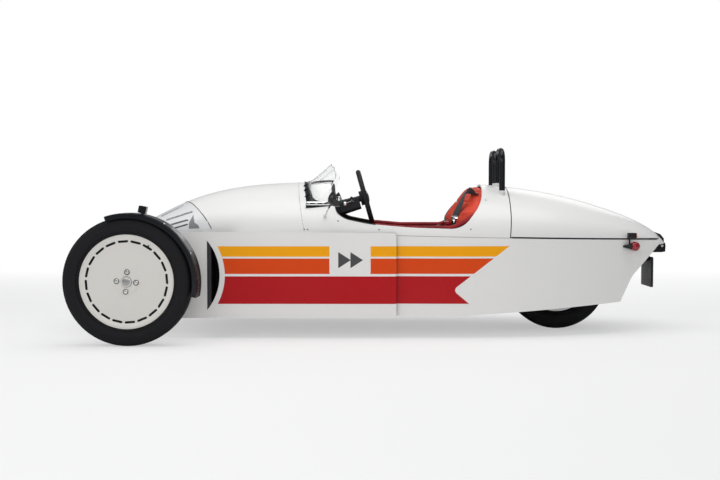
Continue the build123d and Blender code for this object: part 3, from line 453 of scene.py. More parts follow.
def lens(name, colour):
    """Coloured moulding with ribs inside, for small lamps, needles and buttons."""
    made = Finish(name, Roughness=0.08, Transmission_Weight=0.35, Coat_Weight=0.7, Coat_Roughness=0.04)
    _, y, z = made.place()
    lines = ((z * 900.0).wave() + (y * 900.0).wave()) * 0.3
    glow = made.noise(60.0, 2.0)
    made.set(Base_Color=made.mix(glow, scaled(colour, 0.75), colour))
    made.bump(lines + glow * 0.1, 0.3, 0.001)
    return made


def clear_sheet(name, tint, weight, ior=1.45, ribs=0.0):
    """Thin clear moulding that lets the view through."""
    made = Finish(name, Base_Color=tint, IOR=ior, Transmission_Weight=weight)
    smears = made.noise(9.0, 5.0, 0.6)
    made.set(Roughness=made.remap(smears, 0.35, 0.75, 0.01, 0.06))
    if ribs:
        made.bump((made.place()[1] * 700.0).wave(), ribs, 0.001)
    return made


DIAL_Y, DIAL_Z = 0.060, 0.780


def dial_face(name):
    """Cream dial card with a darker middle."""
    made = Finish(name)
    _, y, z = made.place()
    out = length_of(y.size() - DIAL_Y, z - DIAL_Z)
    grain = made.noise(700.0, 2.0)
    card = made.mix(made.remap(out, 0.020, 0.0215), (0.05, 0.05, 0.052), (0.62, 0.58, 0.48))
    made.set(
        Base_Color=made.mix(grain * 0.2, card, (0.3, 0.28, 0.24)),
        Roughness=made.remap(grain, 0.3, 0.7, 0.5, 0.6),
    )
    made.bump(grain, 0.05, 0.0003)
    return made


PLATE_Z = 0.358
# half width and half height at the black edge's inner side, and the edge's width
PLATE_EDGE = (0.1030, 0.0830, 0.0020)


def plate_white(name):
    """Blank number plate with a fine black edge."""
    made = Finish(name, Coat_Weight=0.2, Coat_Roughness=0.1)
    _, y, z = made.place()
    half_width, half_height, line = PLATE_EDGE
    across, rise = y.size(), (z - PLATE_Z).size()
    edge = made.band(across, half_width, half_width + line)
    edge = edge.high(made.band(rise, half_height, half_height + line))
    edge = edge * (across < half_width + line + 0.0001) * (rise < half_height + line + 0.0001)
    cells = made.cells(900.0)
    white = made.mix(cells, (0.70, 0.70, 0.69), (0.78, 0.78, 0.77))
    made.set(
        Base_Color=made.mix(edge, white, (0.02, 0.02, 0.02)),
        Roughness=made.remap(cells, 0.0, 0.7, 0.30, 0.42),
    )
    made.bump(cells, 0.05, 0.0003)
    return made


def rubber(name):
    """Tyre rubber: fine grain with softer clouds."""
    made = Finish(name, Specular_IOR_Level=0.16)
    cloud = made.noise(14.0, 5.0, 0.65)
    fine = made.noise(500.0, 2.0)
    made.set(
        Base_Color=made.mix(cloud, (0.005, 0.005, 0.006), (0.012, 0.012, 0.014)),
        Roughness=made.remap(cloud, 0.3, 0.7, 0.5, 0.68),
    )
    made.bump(fine + cloud * 0.4, 0.18, 0.0005)
    return made


def hide(name, colour):
    """Leather: pebbled grain, creases and rubbed high spots."""
    made = Finish(name, Specular_IOR_Level=0.20)
    pebbles = made.cells(420.0)
    creases = made.noise(26.0, 6.0, 0.7)
    patches = made.noise(7.0, 3.0)
    colour = shade(colour)
    lighter = tuple(min(1.0, part * 1.18 + 0.01) for part in colour)
    made.set(
        Base_Color=made.mix(made.remap(patches + pebbles * 0.12, 0.3, 0.75), scaled(colour, 0.62), lighter),
        Roughness=made.remap(creases, 0.3, 0.7, 0.40, 0.65),
    )
    made.bump(pebbles * 0.6 + creases * 0.5, 0.28, 0.0008)
    return made


def webbing(name, colour):
    """Woven belt webbing."""
    made = Finish(name, Roughness=0.78, Sheen_Weight=0.15)
    x, y, z = made.place()
    weave = ((x + z) * 2600.0).wave() * (y * 2600.0).wave()
    made.set(Base_Color=made.mix(made.remap(weave, -1.0, 1.0), colour, scaled(colour, 2.2)))
    made.bump(weave, 0.35, 0.0005)
    return made


def fins(name):
    """Radiator core: fine fins over a black matrix."""
    made = Finish(name, Roughness=0.5, Metallic=0.6)
    rows = (made.place()[2] * 520.0).wave().size()
    made.set(Base_Color=made.mix(rows, (0.008, 0.008, 0.009), (0.06, 0.06, 0.065)))
    made.bump(rows, 0.6, 0.002)
    return made


def casting(name):
    """Bright cast metal of the nose: a fine cast skin with soft clouds."""
    made = Finish(name, Metallic=0.25)
    grain = made.noise(260.0, 4.0, 0.6)
    cloud = made.noise(5.0, 4.0)
    made.set(
        Base_Color=made.mix(cloud, (0.84, 0.84, 0.84), (0.92, 0.92, 0.91)),
        Roughness=made.remap(cloud, 0.3, 0.7, 0.16, 0.26),
    )
    made.bump(grain, 0.06, 0.0005)
    return made


# each finish: its maker, and the values that the maker takes after the name
FINISH_MAKERS = {
    "body white": (dressed_paint, "paint"),
    "striped side": (dressed_paint, "paint", striped),
    # the wheel discs carry painted shade behind and in their slots
    "wheel white": (dressed_paint, "disc_paint", slot_shaded_disc, False),
    "gloss black": (gloss_black,),
    "hoop black": (gloss_black, hoop_legs),
    "mirror paint": (mirror_paint,),
    "tail lenses": (two_lenses,),
    "flasher lens": (front_lens,),
    "red lens": (lens, (0.55, 0.0, 0.012)),
    "amber lens": (lens, AMBER),
    "dial face": (dial_face,),
    "dial marks": (moulded, (0.02, 0.02, 0.02), 0.5),
    "plate white": (plate_white,),
    "spring white": (moulded, (0.55, 0.54, 0.52), 0.35, 400.0, 0.08),
    "grey rubber": (moulded, (0.16, 0.16, 0.165), 0.6),
    "grey thread": (moulded, (0.30, 0.30, 0.30), 0.7),
    "satin black": (moulded, (0.009, 0.010, 0.013), 0.42),
    "shade grey": (moulded, (0.22, 0.22, 0.23), 0.4),
    "seam grey": (moulded, (0.36, 0.36, 0.36), 0.5),
    "cast iron": (moulded, (0.10, 0.10, 0.105), 0.6, 300.0, 0.3),
    "dark steel": (metal, (0.20, 0.20, 0.21), 0.30),
    "bare steel": (metal, (0.55, 0.55, 0.56), 0.28),
    "bright metal": (metal, (0.82, 0.82, 0.82), 0.10, 0.06),
    "brushed cap": (metal, (0.42, 0.42, 0.42), 0.24, 0.12, (8, 8, 90)),
    "mirror": (metal, (0.88, 0.89, 0.90), 0.02, 0.02),
    "cast nose": (casting,),
    "radiator fins": (fins,),
    "clear screen": (clear_sheet, (0.985, 0.99, 0.99), 0.98, 1.18),
    "lamp glass": (clear_sheet, (0.97, 0.98, 0.99), 0.97),
    "ribbed glass": (clear_sheet, (0.97, 0.98, 0.99), 0.97, 1.30, 0.35),
    "tyre rubber": (rubber,),
    "seat leather": (hide, "leather"),
    "roll leather": (hide, "roll_leather"),
    "black leather": (hide, (0.009, 0.009, 0.011)),
    "belt webbing": (webbing, (0.02, 0.02, 0.022)),
}
FINISHES = {}


def finish(name):
    """The named finish, made once."""
    if name not in FINISHES:
        maker, *values = FINISH_MAKERS[name]
        FINISHES[name] = maker(name.replace(" ", "_"), *values)
    return FINISHES[name].material


NODE_FINISHES = {
    "hull": "striped side", "scuttle": "body white", "bonnet": "body white", "tail_lid": "body white",
    "nose_cowl": "cast nose", "rear_wheel_tub": "satin black", "grille": "satin black",
    "side_blades": "striped side", "radiators": "radiator fins", "headlamp_pods": "gloss black",
    "headlamp_lenses": "lamp glass", "steering_wheel": "black leather", "steering_column": "satin black",
    "dashboard": "satin black", "seats": "seat leather", "cockpit_rolls": "roll leather",
    "roll_hoops": "hoop black", "aeroscreens": "clear screen", "aeroscreen_rails": "gloss black",
    "mirrors": "mirror paint", "lid_hinge_bracket": "gloss black", "lid_hinge_arm": "gloss black",
    "tail_lamp_pods": "satin black", "tail_lamp_lenses": "tail lenses", "plate_holder": "satin black",
    "centre_tunnel": "satin black", "cabin_controls": "bare steel", "engine_block": "cast iron",
    "wishbones": "gloss black", "front_dampers": "bare steel", "steering_rack": "bare steel",
    "rack_housing": "bare steel", "swing_arm": "gloss black", "rear_wheel": "bright metal",
    "rear_tyre": "tyre rubber",
}
SIDE_FINISHES = {
    "knuckle": "bare steel", "brake_disc": "bare steel", "front_wheel": "wheel white",
    "front_tyre": "tyre rubber", "mudguard": "gloss black", "front_flasher_lens": "flasher lens",
}


def dress_node(node, finish_name):
    """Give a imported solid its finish."""
    material = finish(finish_name)
    slots = NODES[node].data.materials
    slots.clear()
    slots.append(material)


# ---------------------------------------------------------------- mesh helpers
def new_object(name, bm):
    """An object made from a bmesh, which is freed."""
    mesh = bpy.data.meshes.new(name)
    bm.to_mesh(mesh)
    bm.free()
    made = bpy.data.objects.new(name, mesh)
    bpy.context.scene.collection.objects.link(made)
    return made


def new_piece(name, bm, finish_name, body=BODY, smooth=True, angle=35.0):
    """A finished piece from a bmesh: normals out, shaded and riding on its body."""
    bmesh.ops.remove_doubles(bm, verts=bm.verts, dist=1e-6)
    bmesh.ops.recalc_face_normals(bm, faces=bm.faces)
    made = new_object(name, bm)
    mesh = made.data
    mesh.materials.append(finish(finish_name))
    if smooth:
        mesh.polygons.foreach_set("use_smooth", [True] * len(mesh.polygons))
        mesh.set_sharp_from_angle(angle=math.radians(angle))
    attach(made, body)
    return made


def turn_to(direction):
    """Rotation that takes +Z to a direction."""
    return Vector(direction).to_track_quat("Z", "Y").to_matrix().to_4x4()


def lathe(bm, profile, centre, direction, steps=48, closed=False):
    """Spin a profile about an axis into the bmesh: each point is a radius and a distance along."""
    matrix = Matrix.Translation(centre) @ turn_to(direction)
    verts = [bm.verts.new(matrix @ Vector((radius, 0, along))) for radius, along in profile]
    edges = [bm.edges.new(pair) for pair in zip(verts, verts[1:])]
    if closed:
        edges.append(bm.edges.new((verts[-1], verts[0])))
    axis = matrix.to_3x3() @ Vector((0, 0, 1))
    bmesh.ops.spin(
        bm, geom=verts + edges, cent=centre, axis=axis, dvec=(0, 0, 0),
        angle=2 * math.pi, steps=steps, use_merge=True,
    )


def stud(bm, place, direction, radius, height, sides=12):
    """A domed screw head."""
    profile = [(0, 0), (radius, 0), (radius, height * 0.5), (radius * 0.7, height * 0.9), (0, height)]
    lathe(bm, profile, Vector(place), direction, sides)


# ---------------------------------------------------------------- operators
class CarPiece(bpy.types.Operator):
    """Shared parts of the operators that make the car's pieces."""

    bl_options = {"REGISTER", "UNDO"}

    def execute(self, context):
        self.build()
        return {"FINISHED"}


def wheel_places():
    """Side, centre, outward direction and body of each front wheel."""
    return [
        (side, Vector((AXLE_X, sign * WHEEL_Y, AXLE_Z)), Vector((0, sign, 0)), f"wheel_body_{side}")
        for side, sign in SIDES
    ]


def skin(*nodes):
    """A tree of the nodes' triangles, for laying pieces on them."""
    bm = bmesh.new()
    for node in nodes:
        bm.from_mesh(NODES[node].data)
    tree = BVHTree.FromBMesh(bm)
    bm.free()
    return tree


def cube(bm, middle, size, turn=None):
    """A box, turned about its middle."""
    matrix = Matrix.Translation(middle) @ (turn or Matrix.Identity(4)) @ Matrix.Diagonal((*size, 1.0))
    bmesh.ops.create_cube(bm, size=1.0, matrix=matrix)


def soften(bm, width, segments=2):
    """Round the sharp edges of everything made so far."""
    least = math.radians(30.0)
    sharp = [edge for edge in bm.edges if edge.is_manifold and edge.calc_face_angle(0.0) > least]
    bmesh.ops.bevel(
        bm, geom=sharp, offset=width, segments=segments, profile=0.5, affect="EDGES",
        material=-1, clamp_overlap=True,
    )


def flip(bm):
    """Move everything made so far to the other side of the car."""
    bmesh.ops.transform(bm, verts=bm.verts, matrix=Matrix.Diagonal((1, -1, 1, 1)))


def upright(degrees):
    """A direction in the side view, by its angle above the way to the tail."""
    turn = math.radians(degrees)
    return Vector((math.cos(turn), 0, math.sin(turn)))


def ring(bm, centre, direction, radius, tube, steps=64, sides=12):
    """A round ring about an axis."""
    profile = [
        (radius + tube * math.cos(2 * math.pi * k / sides), tube * math.sin(2 * math.pi * k / sides))
        for k in range(sides)
    ]
    lathe(bm, profile, Vector(centre), direction, steps, closed=True)


def both_sides(bm):
    """Add the mirror image on the other side of the car."""
    geometry = bm.verts[:] + bm.edges[:] + bm.faces[:]
    bmesh.ops.mirror(bm, geom=geometry, matrix=Matrix.Identity(4), axis="Y", merge_dist=-1.0)


def path_frames(points, ups=None):
    """Frames along a path: Z runs along it, Y is up where ups are given."""
    points = [Vector(point) for point in points]
    frames = []
    turn = None
    for index, point in enumerate(points):
        along = (points[min(index + 1, len(points) - 1)] - points[max(index - 1, 0)]).normalized()
        if ups:
            up = Vector(ups[index])
            up = (up - along * up.dot(along)).normalized()
            matrix = Matrix((up.cross(along), up, along)).transposed()
        else:
            turn = along.to_track_quat("Z", "Y") if turn is None else last.rotation_difference(along) @ turn
            matrix = turn.to_matrix()
        last = along
        frames.append(Matrix.Translation(point) @ matrix.to_4x4())
    return frames


def run_along(bm, frames, width, depth, sides=0):
    """Extrude a round or square end face along frames, closed at both ends."""
    place = frames[0] @ Matrix.Diagonal((width, depth, 1.0, 1.0))
    if sides:
        verts = bmesh.ops.create_circle(bm, cap_ends=True, segments=sides, radius=0.5, matrix=place)["verts"]
    else:
        verts = bmesh.ops.create_grid(bm, x_segments=1, y_segments=1, size=0.5, matrix=place)["verts"]
    face = verts[0].link_faces[0]
    for before, after in zip(frames, frames[1:]):
        made = bmesh.ops.extrude_face_region(bm, geom=[face])["geom"]
        face = next(item for item in made if isinstance(item, bmesh.types.BMFace))
        moved = [item for item in made if isinstance(item, bmesh.types.BMVert)]
        bmesh.ops.transform(bm, matrix=after @ before.inverted(), verts=moved)


def bar(bm, points, radius, sides=14):
    """A round bar along a path."""
    run_along(bm, path_frames(points), 2 * radius, 2 * radius, sides)


def curved(points, steps=8):
    """A smooth run through the points."""
    points = [Vector(point) for point in points]
    ends = [points[0]] + points + [points[-1]]
    run = []
    for index in range(len(points) - 1):
        a, b, c, d = ends[index:index + 4]
        square = 2 * a - 5 * b + 4 * c - d
        cubic = 3 * b - a - 3 * c + d
        for step in range(steps):
            t = step / steps
            run.append(0.5 * (2 * b + (c - a) * t + square * t * t + cubic * t ** 3))
    run.append(points[-1])
    return run


def flank_spot(tree, x, z, sign):
    """Where the side of the car is met at X and Z, and the surface's direction there."""
    return shine(tree, (x, sign, z), (0, -sign, 0))


def lay(tree, points, lift):
    """Points moved on to the nearest surface, and the surface's directions there."""
    placed = []
    ups = []
    for point in map(Vector, points):
        spot, normal, _, _ = tree.find_nearest(point)
        if normal.dot(point - spot) < 0 and (point - spot).length > 1e-4:
            normal = -normal
        placed.append(spot + normal * lift)
        ups.append(normal)
    return placed, ups


def shine(tree, start, direction):
    """Where a ray from outside first meets the surface."""
    spot, normal, _, _ = tree.ray_cast(Vector(start), Vector(direction).normalized())
    if spot is None:
        raise RuntimeError(f"nothing is met from {tuple(start)}")
    if normal.dot(Vector(direction)) > 0:
        normal = -normal
    return spot, normal


# ---------------------------------------------------------------- tyres
def tyre_section(radius, half, rim, rim_half, grooves, depth):
    """Points (radius, lateral) of one half of a tyre's section, from the bead to the crown."""
    height = radius - rim
    # how far out from the rim's edge, and how far to the side of it
    bead = (
        (-0.0137, -0.0070), (0.0010, -0.0010), (0.0040, 0.0060), (0.0070, 0.0085), (0.0095, 0.0115),
        (0.0125, 0.0120), (0.0145, 0.0110),
    )
    # share of the wall's height, and how far in from the widest place
    wall = (
        (0.20, 0.0042), (0.30, 0.0014), (0.42, 0.0004), (0.45, -0.0004), (0.48, -0.0004), (0.50, 0.0004),
        (0.62, 0.0010), (0.72, 0.0026), (0.80, 0.0054), (0.86, 0.0072),
    )
    # how far in from the crown, and from the widest place
    shoulder = ((0.0105, 0.0098), (0.0060, 0.0135), (0.0032, 0.0180), (0.0022, 0.0235))
    section = [(rim + out, rim_half + aside) for out, aside in bead]
    section += [(rim + share * height, half - inward) for share, inward in wall]
    section += [(radius - drop, half - inward) for drop, inward in shoulder]
    for place, width in grooves:
        rise = 0.0018 * (place / half) ** 2
        section += [
            (radius - rise, place + width / 2), (radius - rise - depth, place + 0.36 * width),
            (radius - rise - depth, place - 0.36 * width), (radius - rise, place - width / 2),
        ]
    return section


FACES_PER_BLOCK = 6
TREAD_REACH = 0.0115  # how far below the crown the tread's cuts begin on the shoulder
RIB_REACH = 0.0035  # and on the ribs


def make_tyre(name, node, centre, body, table, depth):
    """A tyre with ribs round it and a cut across every block."""
    radius, half, rim, rim_half, blocks, *grooves = table
    section = tyre_section(radius, half, rim, rim_half, grooves, depth)
    profile = section + [(r, -y) for r, y in reversed(section)]
    bm = bmesh.new()
    columns = blocks * FACES_PER_BLOCK
    lathe(bm, profile, centre, (0, 1, 0), columns, closed=True)
    bmesh.ops.remove_doubles(bm, verts=bm.verts, dist=1e-6)
    bmesh.ops.recalc_face_normals(bm, faces=bm.faces)
    ribs_end = grooves[0][0] + grooves[0][1] / 2
    cuts = []
    for face in bm.faces:
        away = face.calc_center_median() - centre
        lateral = abs(away.y)
        reach = math.hypot(away.x, away.z)
        column = int((math.atan2(away.z, away.x) / (2 * math.pi) + 1.0) * columns) % FACES_PER_BLOCK
        on_shoulder = lateral > ribs_end and reach > radius - TREAD_REACH
        faces_out = abs(face.normal.y) < 0.5 and reach > radius - RIB_REACH
        on_rib = faces_out and grooves[-1][0] < lateral < ribs_end
        shift = 1 if away.y > 0 else 4
        if (on_shoulder and column == shift) or (on_rib and column == (shift + 3) % FACES_PER_BLOCK):
            cuts.append(face)
    made = bmesh.ops.extrude_face_region(bm, geom=cuts)["geom"]
    for vert in made:
        if isinstance(vert, bmesh.types.BMVert):
            away = vert.co - centre
            outward = Vector((away.x, 0, away.z)).normalized()
            vert.co -= outward * depth * 0.8
    bmesh.ops.delete(bm, geom=[face for face in cuts if face.is_valid], context="FACES")
    tyre = new_piece(name, bm, "tyre rubber", body, angle=32.0)
    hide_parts(node)


# radius, half width, rim radius, rim half width, blocks, then middle and width of each groove
FRONT_TYRE = (0.358, 0.065, 0.262, 0.044, 64, (0.0325, 0.005), (0.0125, 0.005))
REAR_TYRE = (0.318, 0.0975, 0.208, 0.077, 60, (0.066, 0.007), (0.042, 0.007), (0.014, 0.008))


class CAR_OT_tyres(CarPiece):
    """Front and rear tyres with their treads."""

    bl_idname = "car.tyres"
    bl_label = "Tyres"

    def build(self):
        depth = bpy.context.scene.car_sizes.tread_depth
        for side, centre, _, body in wheel_places():
            make_tyre(f"tyre_{side}", f"front_tyre_{side}", centre, body, FRONT_TYRE, depth)
        make_tyre("tyre_rear", "rear_tyre", REAR_AXLE, "rear_wheel_body", REAR_TYRE, depth)


# ---------------------------------------------------------------- wheels
NUT_CIRCLE = 0.054
NUT_FIRST = -4.4  # degrees
# radius of each step of a nut, where it starts and ends, and its number of sides
NUT_STEPS = ((0.0122, 0.0, 0.0012, 20), (0.0108, 0.0012, 0.0076, 6))
NUT_CAP = ((0, 0.0076), (0.0074, 0.0076), (0.0062, 0.0098), (0, 0.0104))
HUB_CAP = (
    (0.0, 0.0562), (0.010, 0.0560), (0.019, 0.0552), (0.0235, 0.0540), (0.0262, 0.0518), (0.0270, 0.0492),
    (0.0262, 0.0490),
)
VALVE_PLACE = (58.0, 0.222, 0.0405)  # degrees, radius, and how far out
VALVE = (
    (0, 0), (0.005, 0), (0.0046, 0.004), (0.0034, 0.006), (0.0034, 0.016), (0.0042, 0.0165),
    (0.0042, 0.0215), (0.0034, 0.0225), (0, 0.0228),
)
# a near-black ring behind the slots, as painted shade: radius and distance out of each point
SLOT_SHADE_PROFILE = (
    (0.165, 0.0200), (0.1655, 0.0225), (0.190, 0.0235), (0.2335, 0.0235), (0.2335, 0.0215), (0.190, 0.0215),
)


class CAR_OT_wheel_fittings(CarPiece):
    """Wheel nuts, caps, valves, the black rings of painted shade behind the slots and the rear hub's bolts.
    """

    bl_idname = "car.wheel_fittings"
    bl_label = "Wheel fittings"

    def build(self):
        for side, centre, outward, body in wheel_places():
            disc = skin(f"front_wheel_{side}")
            nuts, rings, cap, lip, valve, slot_shade = (bmesh.new() for _ in range(6))
            for index in range(4):
                spoke = upright(NUT_FIRST + 90 * index)
                level = max(
                    (shine(disc, centre + spoke * radius + outward * 0.3, -outward)[0] - centre).dot(outward)
                    for radius in (NUT_CIRCLE - 0.018, NUT_CIRCLE, NUT_CIRCLE + 0.018)
                )
                place = centre + spoke * NUT_CIRCLE + outward * level
                ring(rings, place + outward * 0.0006, outward, 0.0134, 0.0022, 32, 8)
                for radius, low, high, sides in NUT_STEPS:
                    matrix = Matrix.Translation(place + outward * (low + high) / 2) @ turn_to(outward)
                    bmesh.ops.create_cone(
                        nuts, cap_ends=True, segments=sides, radius1=radius, radius2=radius,
                        depth=high - low, matrix=matrix,
                    )
                lathe(nuts, NUT_CAP, place, outward, 18)
            new_piece(f"wheel_nuts_{side}", nuts, "bright metal", body)
            lathe(cap, HUB_CAP, centre, outward, 56)
            new_piece(f"hub_cap_{side}", cap, "brushed cap", body)
            ring(rings, centre + outward * 0.0492, outward, 0.0286, 0.0018, 64, 8)
            new_piece(f"nut_seats_{side}", rings, "satin black", body)
            ring(lip, centre + outward * 0.0474, outward, 0.0668, 0.0009, 96, 8)
            new_piece(f"hub_lip_{side}", lip, "wheel white", body)
            degrees, out, proud = VALVE_PLACE
            along = upright(degrees)
            leaning = (outward * 0.75 + along * 0.66).normalized()
            lathe(valve, VALVE, centre + along * out + outward * proud, leaning, 16)
            new_piece(f"tyre_valve_{side}", valve, "satin black", body)
            # painted shade behind the slots
            lathe(slot_shade, SLOT_SHADE_PROFILE, centre, outward, 96, closed=True)
            new_piece(f"disc_backing_{side}", slot_shade, "satin black", body)
        bolts = bmesh.new()
        for sign in (-1, 1):
            outward = Vector((0, sign, 0))
            for index in range(5):
                place = REAR_AXLE + upright(72 * index + 20) * 0.030 + outward * 0.139
                stud(bolts, place, outward, 0.0055, 0.005, 6)
        new_piece("rear_hub_bolts", bolts, "bright metal", "rear_wheel_body")


# ---------------------------------------------------------------- padding
PAD_VOXEL = 0.008
PAD_FRAMES = 20


def left_solids(node):
    """The separate solids of a node on the car's left, from the highest down: middle and bmesh of each."""
    whole = bmesh.new()
    whole.from_mesh(NODES[node].data)
    bmesh.ops.remove_doubles(whole, verts=whole.verts, dist=1e-5)
    whole.verts.index_update()
    left = set(whole.verts)
    parts = []
    while left:
        stack = [left.pop()]
        group = set(stack)
        while stack:
            for edge in stack.pop().link_edges:
                for vert in edge.verts:
                    if vert in left:
                        left.remove(vert)
                        group.add(vert)
                        stack.append(vert)
        centre = sum((vert.co for vert in group), Vector()) / len(group)
        if centre.y > 0:
            continue
        part = whole.copy()
        keep = {vert.index for vert in group}
        bmesh.ops.delete(part, geom=[vert for vert in part.verts if vert.index not in keep], context="VERTS")
        parts.append((centre, part))
    whole.free()
    return sorted(parts, key=lambda part: -part[0].z)


def settled(made):
    """Apply every modifier of an object."""
    graph = bpy.context.evaluated_depsgraph_get()
    mesh = bpy.data.meshes.new_from_object(made.evaluated_get(graph), depsgraph=graph)
    old = made.data
    made.modifiers.clear()
    made.data = mesh
    bpy.data.meshes.remove(old)


def plump(bm, name, shrink, cap, pressure=4.0, voxel=PAD_VOXEL):
    """A pad blown up from a solid: remeshed, puffed by cloth pressure, held near its start and smoothed."""
    low = Vector([min(vert.co[axis] for vert in bm.verts) for axis in range(3)])
    high = Vector([max(vert.co[axis] for vert in bm.verts) for axis in range(3)])
    centre = (low + high) / 2
    share = [1.0 - 2 * shrink / (high[axis] - low[axis]) for axis in range(3)]
    bmesh.ops.transform(
        bm, verts=bm.verts, space=Matrix.Translation(-centre), matrix=Matrix.Diagonal((*share, 1.0))
    )
    made = new_object(name, bm)
    scene = bpy.context.scene
    remesh = made.modifiers.new("remesh", "REMESH")
    remesh.mode = "VOXEL"
    remesh.voxel_size = voxel
    settled(made)
    start = [vert.co.copy() for vert in made.data.vertices]
    cloth = made.modifiers.new("cloth", "CLOTH")
    cloth.settings.quality = 4
    cloth.settings.use_pressure = True
    cloth.settings.uniform_pressure_force = pressure
    cloth.settings.tension_stiffness = 12
    cloth.settings.compression_stiffness = 12
    cloth.settings.bending_stiffness = 0.8
    cloth.settings.effector_weights.gravity = 0.0
    cloth.point_cache.frame_start = 1
    cloth.point_cache.frame_end = PAD_FRAMES
    for number in range(1, PAD_FRAMES + 1):
        scene.frame_set(number)
    settled(made)
    for vert, before in zip(made.data.vertices, start):
        moved = vert.co - before
        if moved.length > cap:
            vert.co = before + moved.normalized() * cap
    scene.frame_set(1)
    bm = bmesh.new()
    bm.from_mesh(made.data)
    for _ in range(3):
        bmesh.ops.smooth_vert(
            bm, verts=bm.verts, factor=0.5, use_axis_x=True, use_axis_y=True, use_axis_z=True
        )
    bm.to_mesh(made.data)
    bm.free()
    smoother = made.modifiers.new("smoother", "SUBSURF")
    smoother.levels = smoother.render_levels = 1
    settled(made)
    return made


def quilt(made, amount):
    """Move every point along its own direction by an amount worked out from its place."""
    mesh = made.data
    normals = [vert.normal.copy() for vert in mesh.vertices]
    for vert, normal in zip(mesh.vertices, normals):
        vert.co += normal * amount(vert.co, normal)
    mesh.update()


def dip(away, width):
    """1 at a line, falling away to each side of it."""
    return math.exp(-((away / width) ** 2))


def ease(value, low, high):
    """0 below one limit and 1 above the other, with a smooth rise between."""
    share = min(max((value - low) / (high - low), 0.0), 1.0)
    return share * share * (3 - 2 * share)


SEAT_BACK_Y, CUSHION_Y = -0.260, -0.265
BACK_CHANNELS = (0.40, 0.80)  # Z where the channels start and end
CUSHION_CHANNELS = (0.0, 0.36)  # and X
FLUTE_PITCH = 0.046
FLUTE_HALF = 0.115
FLUTE_DEPTH = 0.0085
FLUTE_CROWN = 0.005
SEAM_WIDTH = 0.006
SEAM_REACH = 0.01


def fluted(across, along, low, high):
    """Depth of the sewn channels at a place on a pad's face."""
    aside = abs(across)
    inside = ease(FLUTE_HALF + 0.004 - aside, 0.0, SEAM_WIDTH)
    inside *= ease(along, low, low + SEAM_REACH) * ease(high - along, 0.0, SEAM_REACH)
    near = abs((across / FLUTE_PITCH + 0.5) % 1.0 - 0.5) * FLUTE_PITCH
    crown = FLUTE_CROWN * (1 - (1 - 2 * near / FLUTE_PITCH) ** 2)
    edges = dip(aside - FLUTE_HALF, SEAM_WIDTH)
    edges *= ease(along, low - SEAM_REACH, low) * ease(high - along, -SEAM_REACH, 0.0)
    ends = dip(along - low, SEAM_WIDTH) + dip(along - high, SEAM_WIDTH)
    ends *= ease(FLUTE_HALF - aside, -0.004, 0.0)
    channel = crown - FLUTE_DEPTH * dip(near, SEAM_WIDTH)
    return inside * channel - FLUTE_DEPTH * max(edges, min(ends, 1.0))


def back_channels(co, normal):
    """How far a point of a seat back moves along its direction."""
    return ease(-normal.x, 0.25, 0.6) * fluted(co.y - SEAT_BACK_Y, co.z, *BACK_CHANNELS)


def cushion_channels(co, normal):
    """How far a point of a seat cushion moves along its direction."""
    return ease(normal.z, 0.5, 0.8) * fluted(co.y - CUSHION_Y, co.x, *CUSHION_CHANNELS)


def roll_seam(_, normal):
    """How far a point of a cockpit roll moves along its direction."""
    return -0.0035 * dip(normal.z * 0.019 + 0.004, 0.003) if normal.y > 0 else 0.0


def dressed_pad(made, finish_name, node):
    """Finish a pad, and let it stand for a node."""
    made.data.materials.clear()
    made.data.materials.append(finish(finish_name))
    made.data.polygons.foreach_set("use_smooth", [True] * len(made.data.polygons))
    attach(made, BODY)
    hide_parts(node)


def other_side(made, name):
    """The same pad on the other side of the car."""
    bm = bmesh.new()
    bm.from_mesh(made.data)
    flip(bm)
    bmesh.ops.recalc_face_normals(bm, faces=bm.faces)
    return new_object(name, bm)


PADS = {}


def fill_back(pad):
    """Raise the head of a seat back and set its front back behind the belt."""
    for vert in pad.data.vertices:
        head = ease(vert.co.z, 0.76, 0.87)
        front = ease(0.60 - vert.co.x, 0.0, 0.14) * ease(vert.co.z, 0.52, 0.66)
        vert.co.x += 0.030 * front
        vert.co.z += 0.022 * head * ease(0.645 - vert.co.x, 0.0, 0.06)
    pad.data.update()


class CAR_OT_seats(CarPiece):
    """Leather seat cushions and backs with sewn channels."""

    bl_idname = "car.seats"
    bl_label = "Seats"

    def build(self):
        made = []
        for centre, bm in left_solids("seats"):
            is_back = centre.z > 0.4
            name = "seat_back_left" if is_back else "seat_cushion_left"
            pad = plump(bm, name, 0.006, 0.012)
            if is_back:
                fill_back(pad)
                quilt(pad, back_channels)
            else:
                quilt(pad, cushion_channels)
            made.append((pad, name))
        for pad, name in made:
            PADS[name] = pad
            for item in (pad, other_side(pad, name.replace("left", "right"))):
                dressed_pad(item, "seat leather", "seats")


class CAR_OT_rolls(CarPiece):
    """Padded leather rolls along the cockpit's edges."""

    bl_idname = "car.rolls"
    bl_label = "Cockpit rolls"

    def build(self):
        for _, bm in left_solids("cockpit_rolls"):
            pad = plump(bm, "cockpit_roll_left", 0.002, 0.003, pressure=2.0, voxel=0.005)
            quilt(pad, roll_seam)
            for item in (pad, other_side(pad, "cockpit_roll_right")):
                dressed_pad(item, "roll leather", "cockpit_rolls")


# ---------------------------------------------------------------- seams and edges
TRACE_PIVOT = 0.45  # height of the line that a seam's rays are aimed at
SHELL = ("hull", "scuttle", "bonnet", "tail_lid", "nose_cowl")


def seam_height(x):
    """Height of the waist at X."""
    return 0.630 - 0.0225 * (x + 1.200)


def bonnet_front(y, z):
    return -1.256 + 0.40 * abs(y) - 0.45 * (z - 0.787)


def bonnet_rear(_, z):
    return -0.530 + (0.920 - z) * 0.055 / 0.290


def lid_front(_, z):
    return 0.737 + (z - seam_height(0.737)) * -0.023 / 0.261


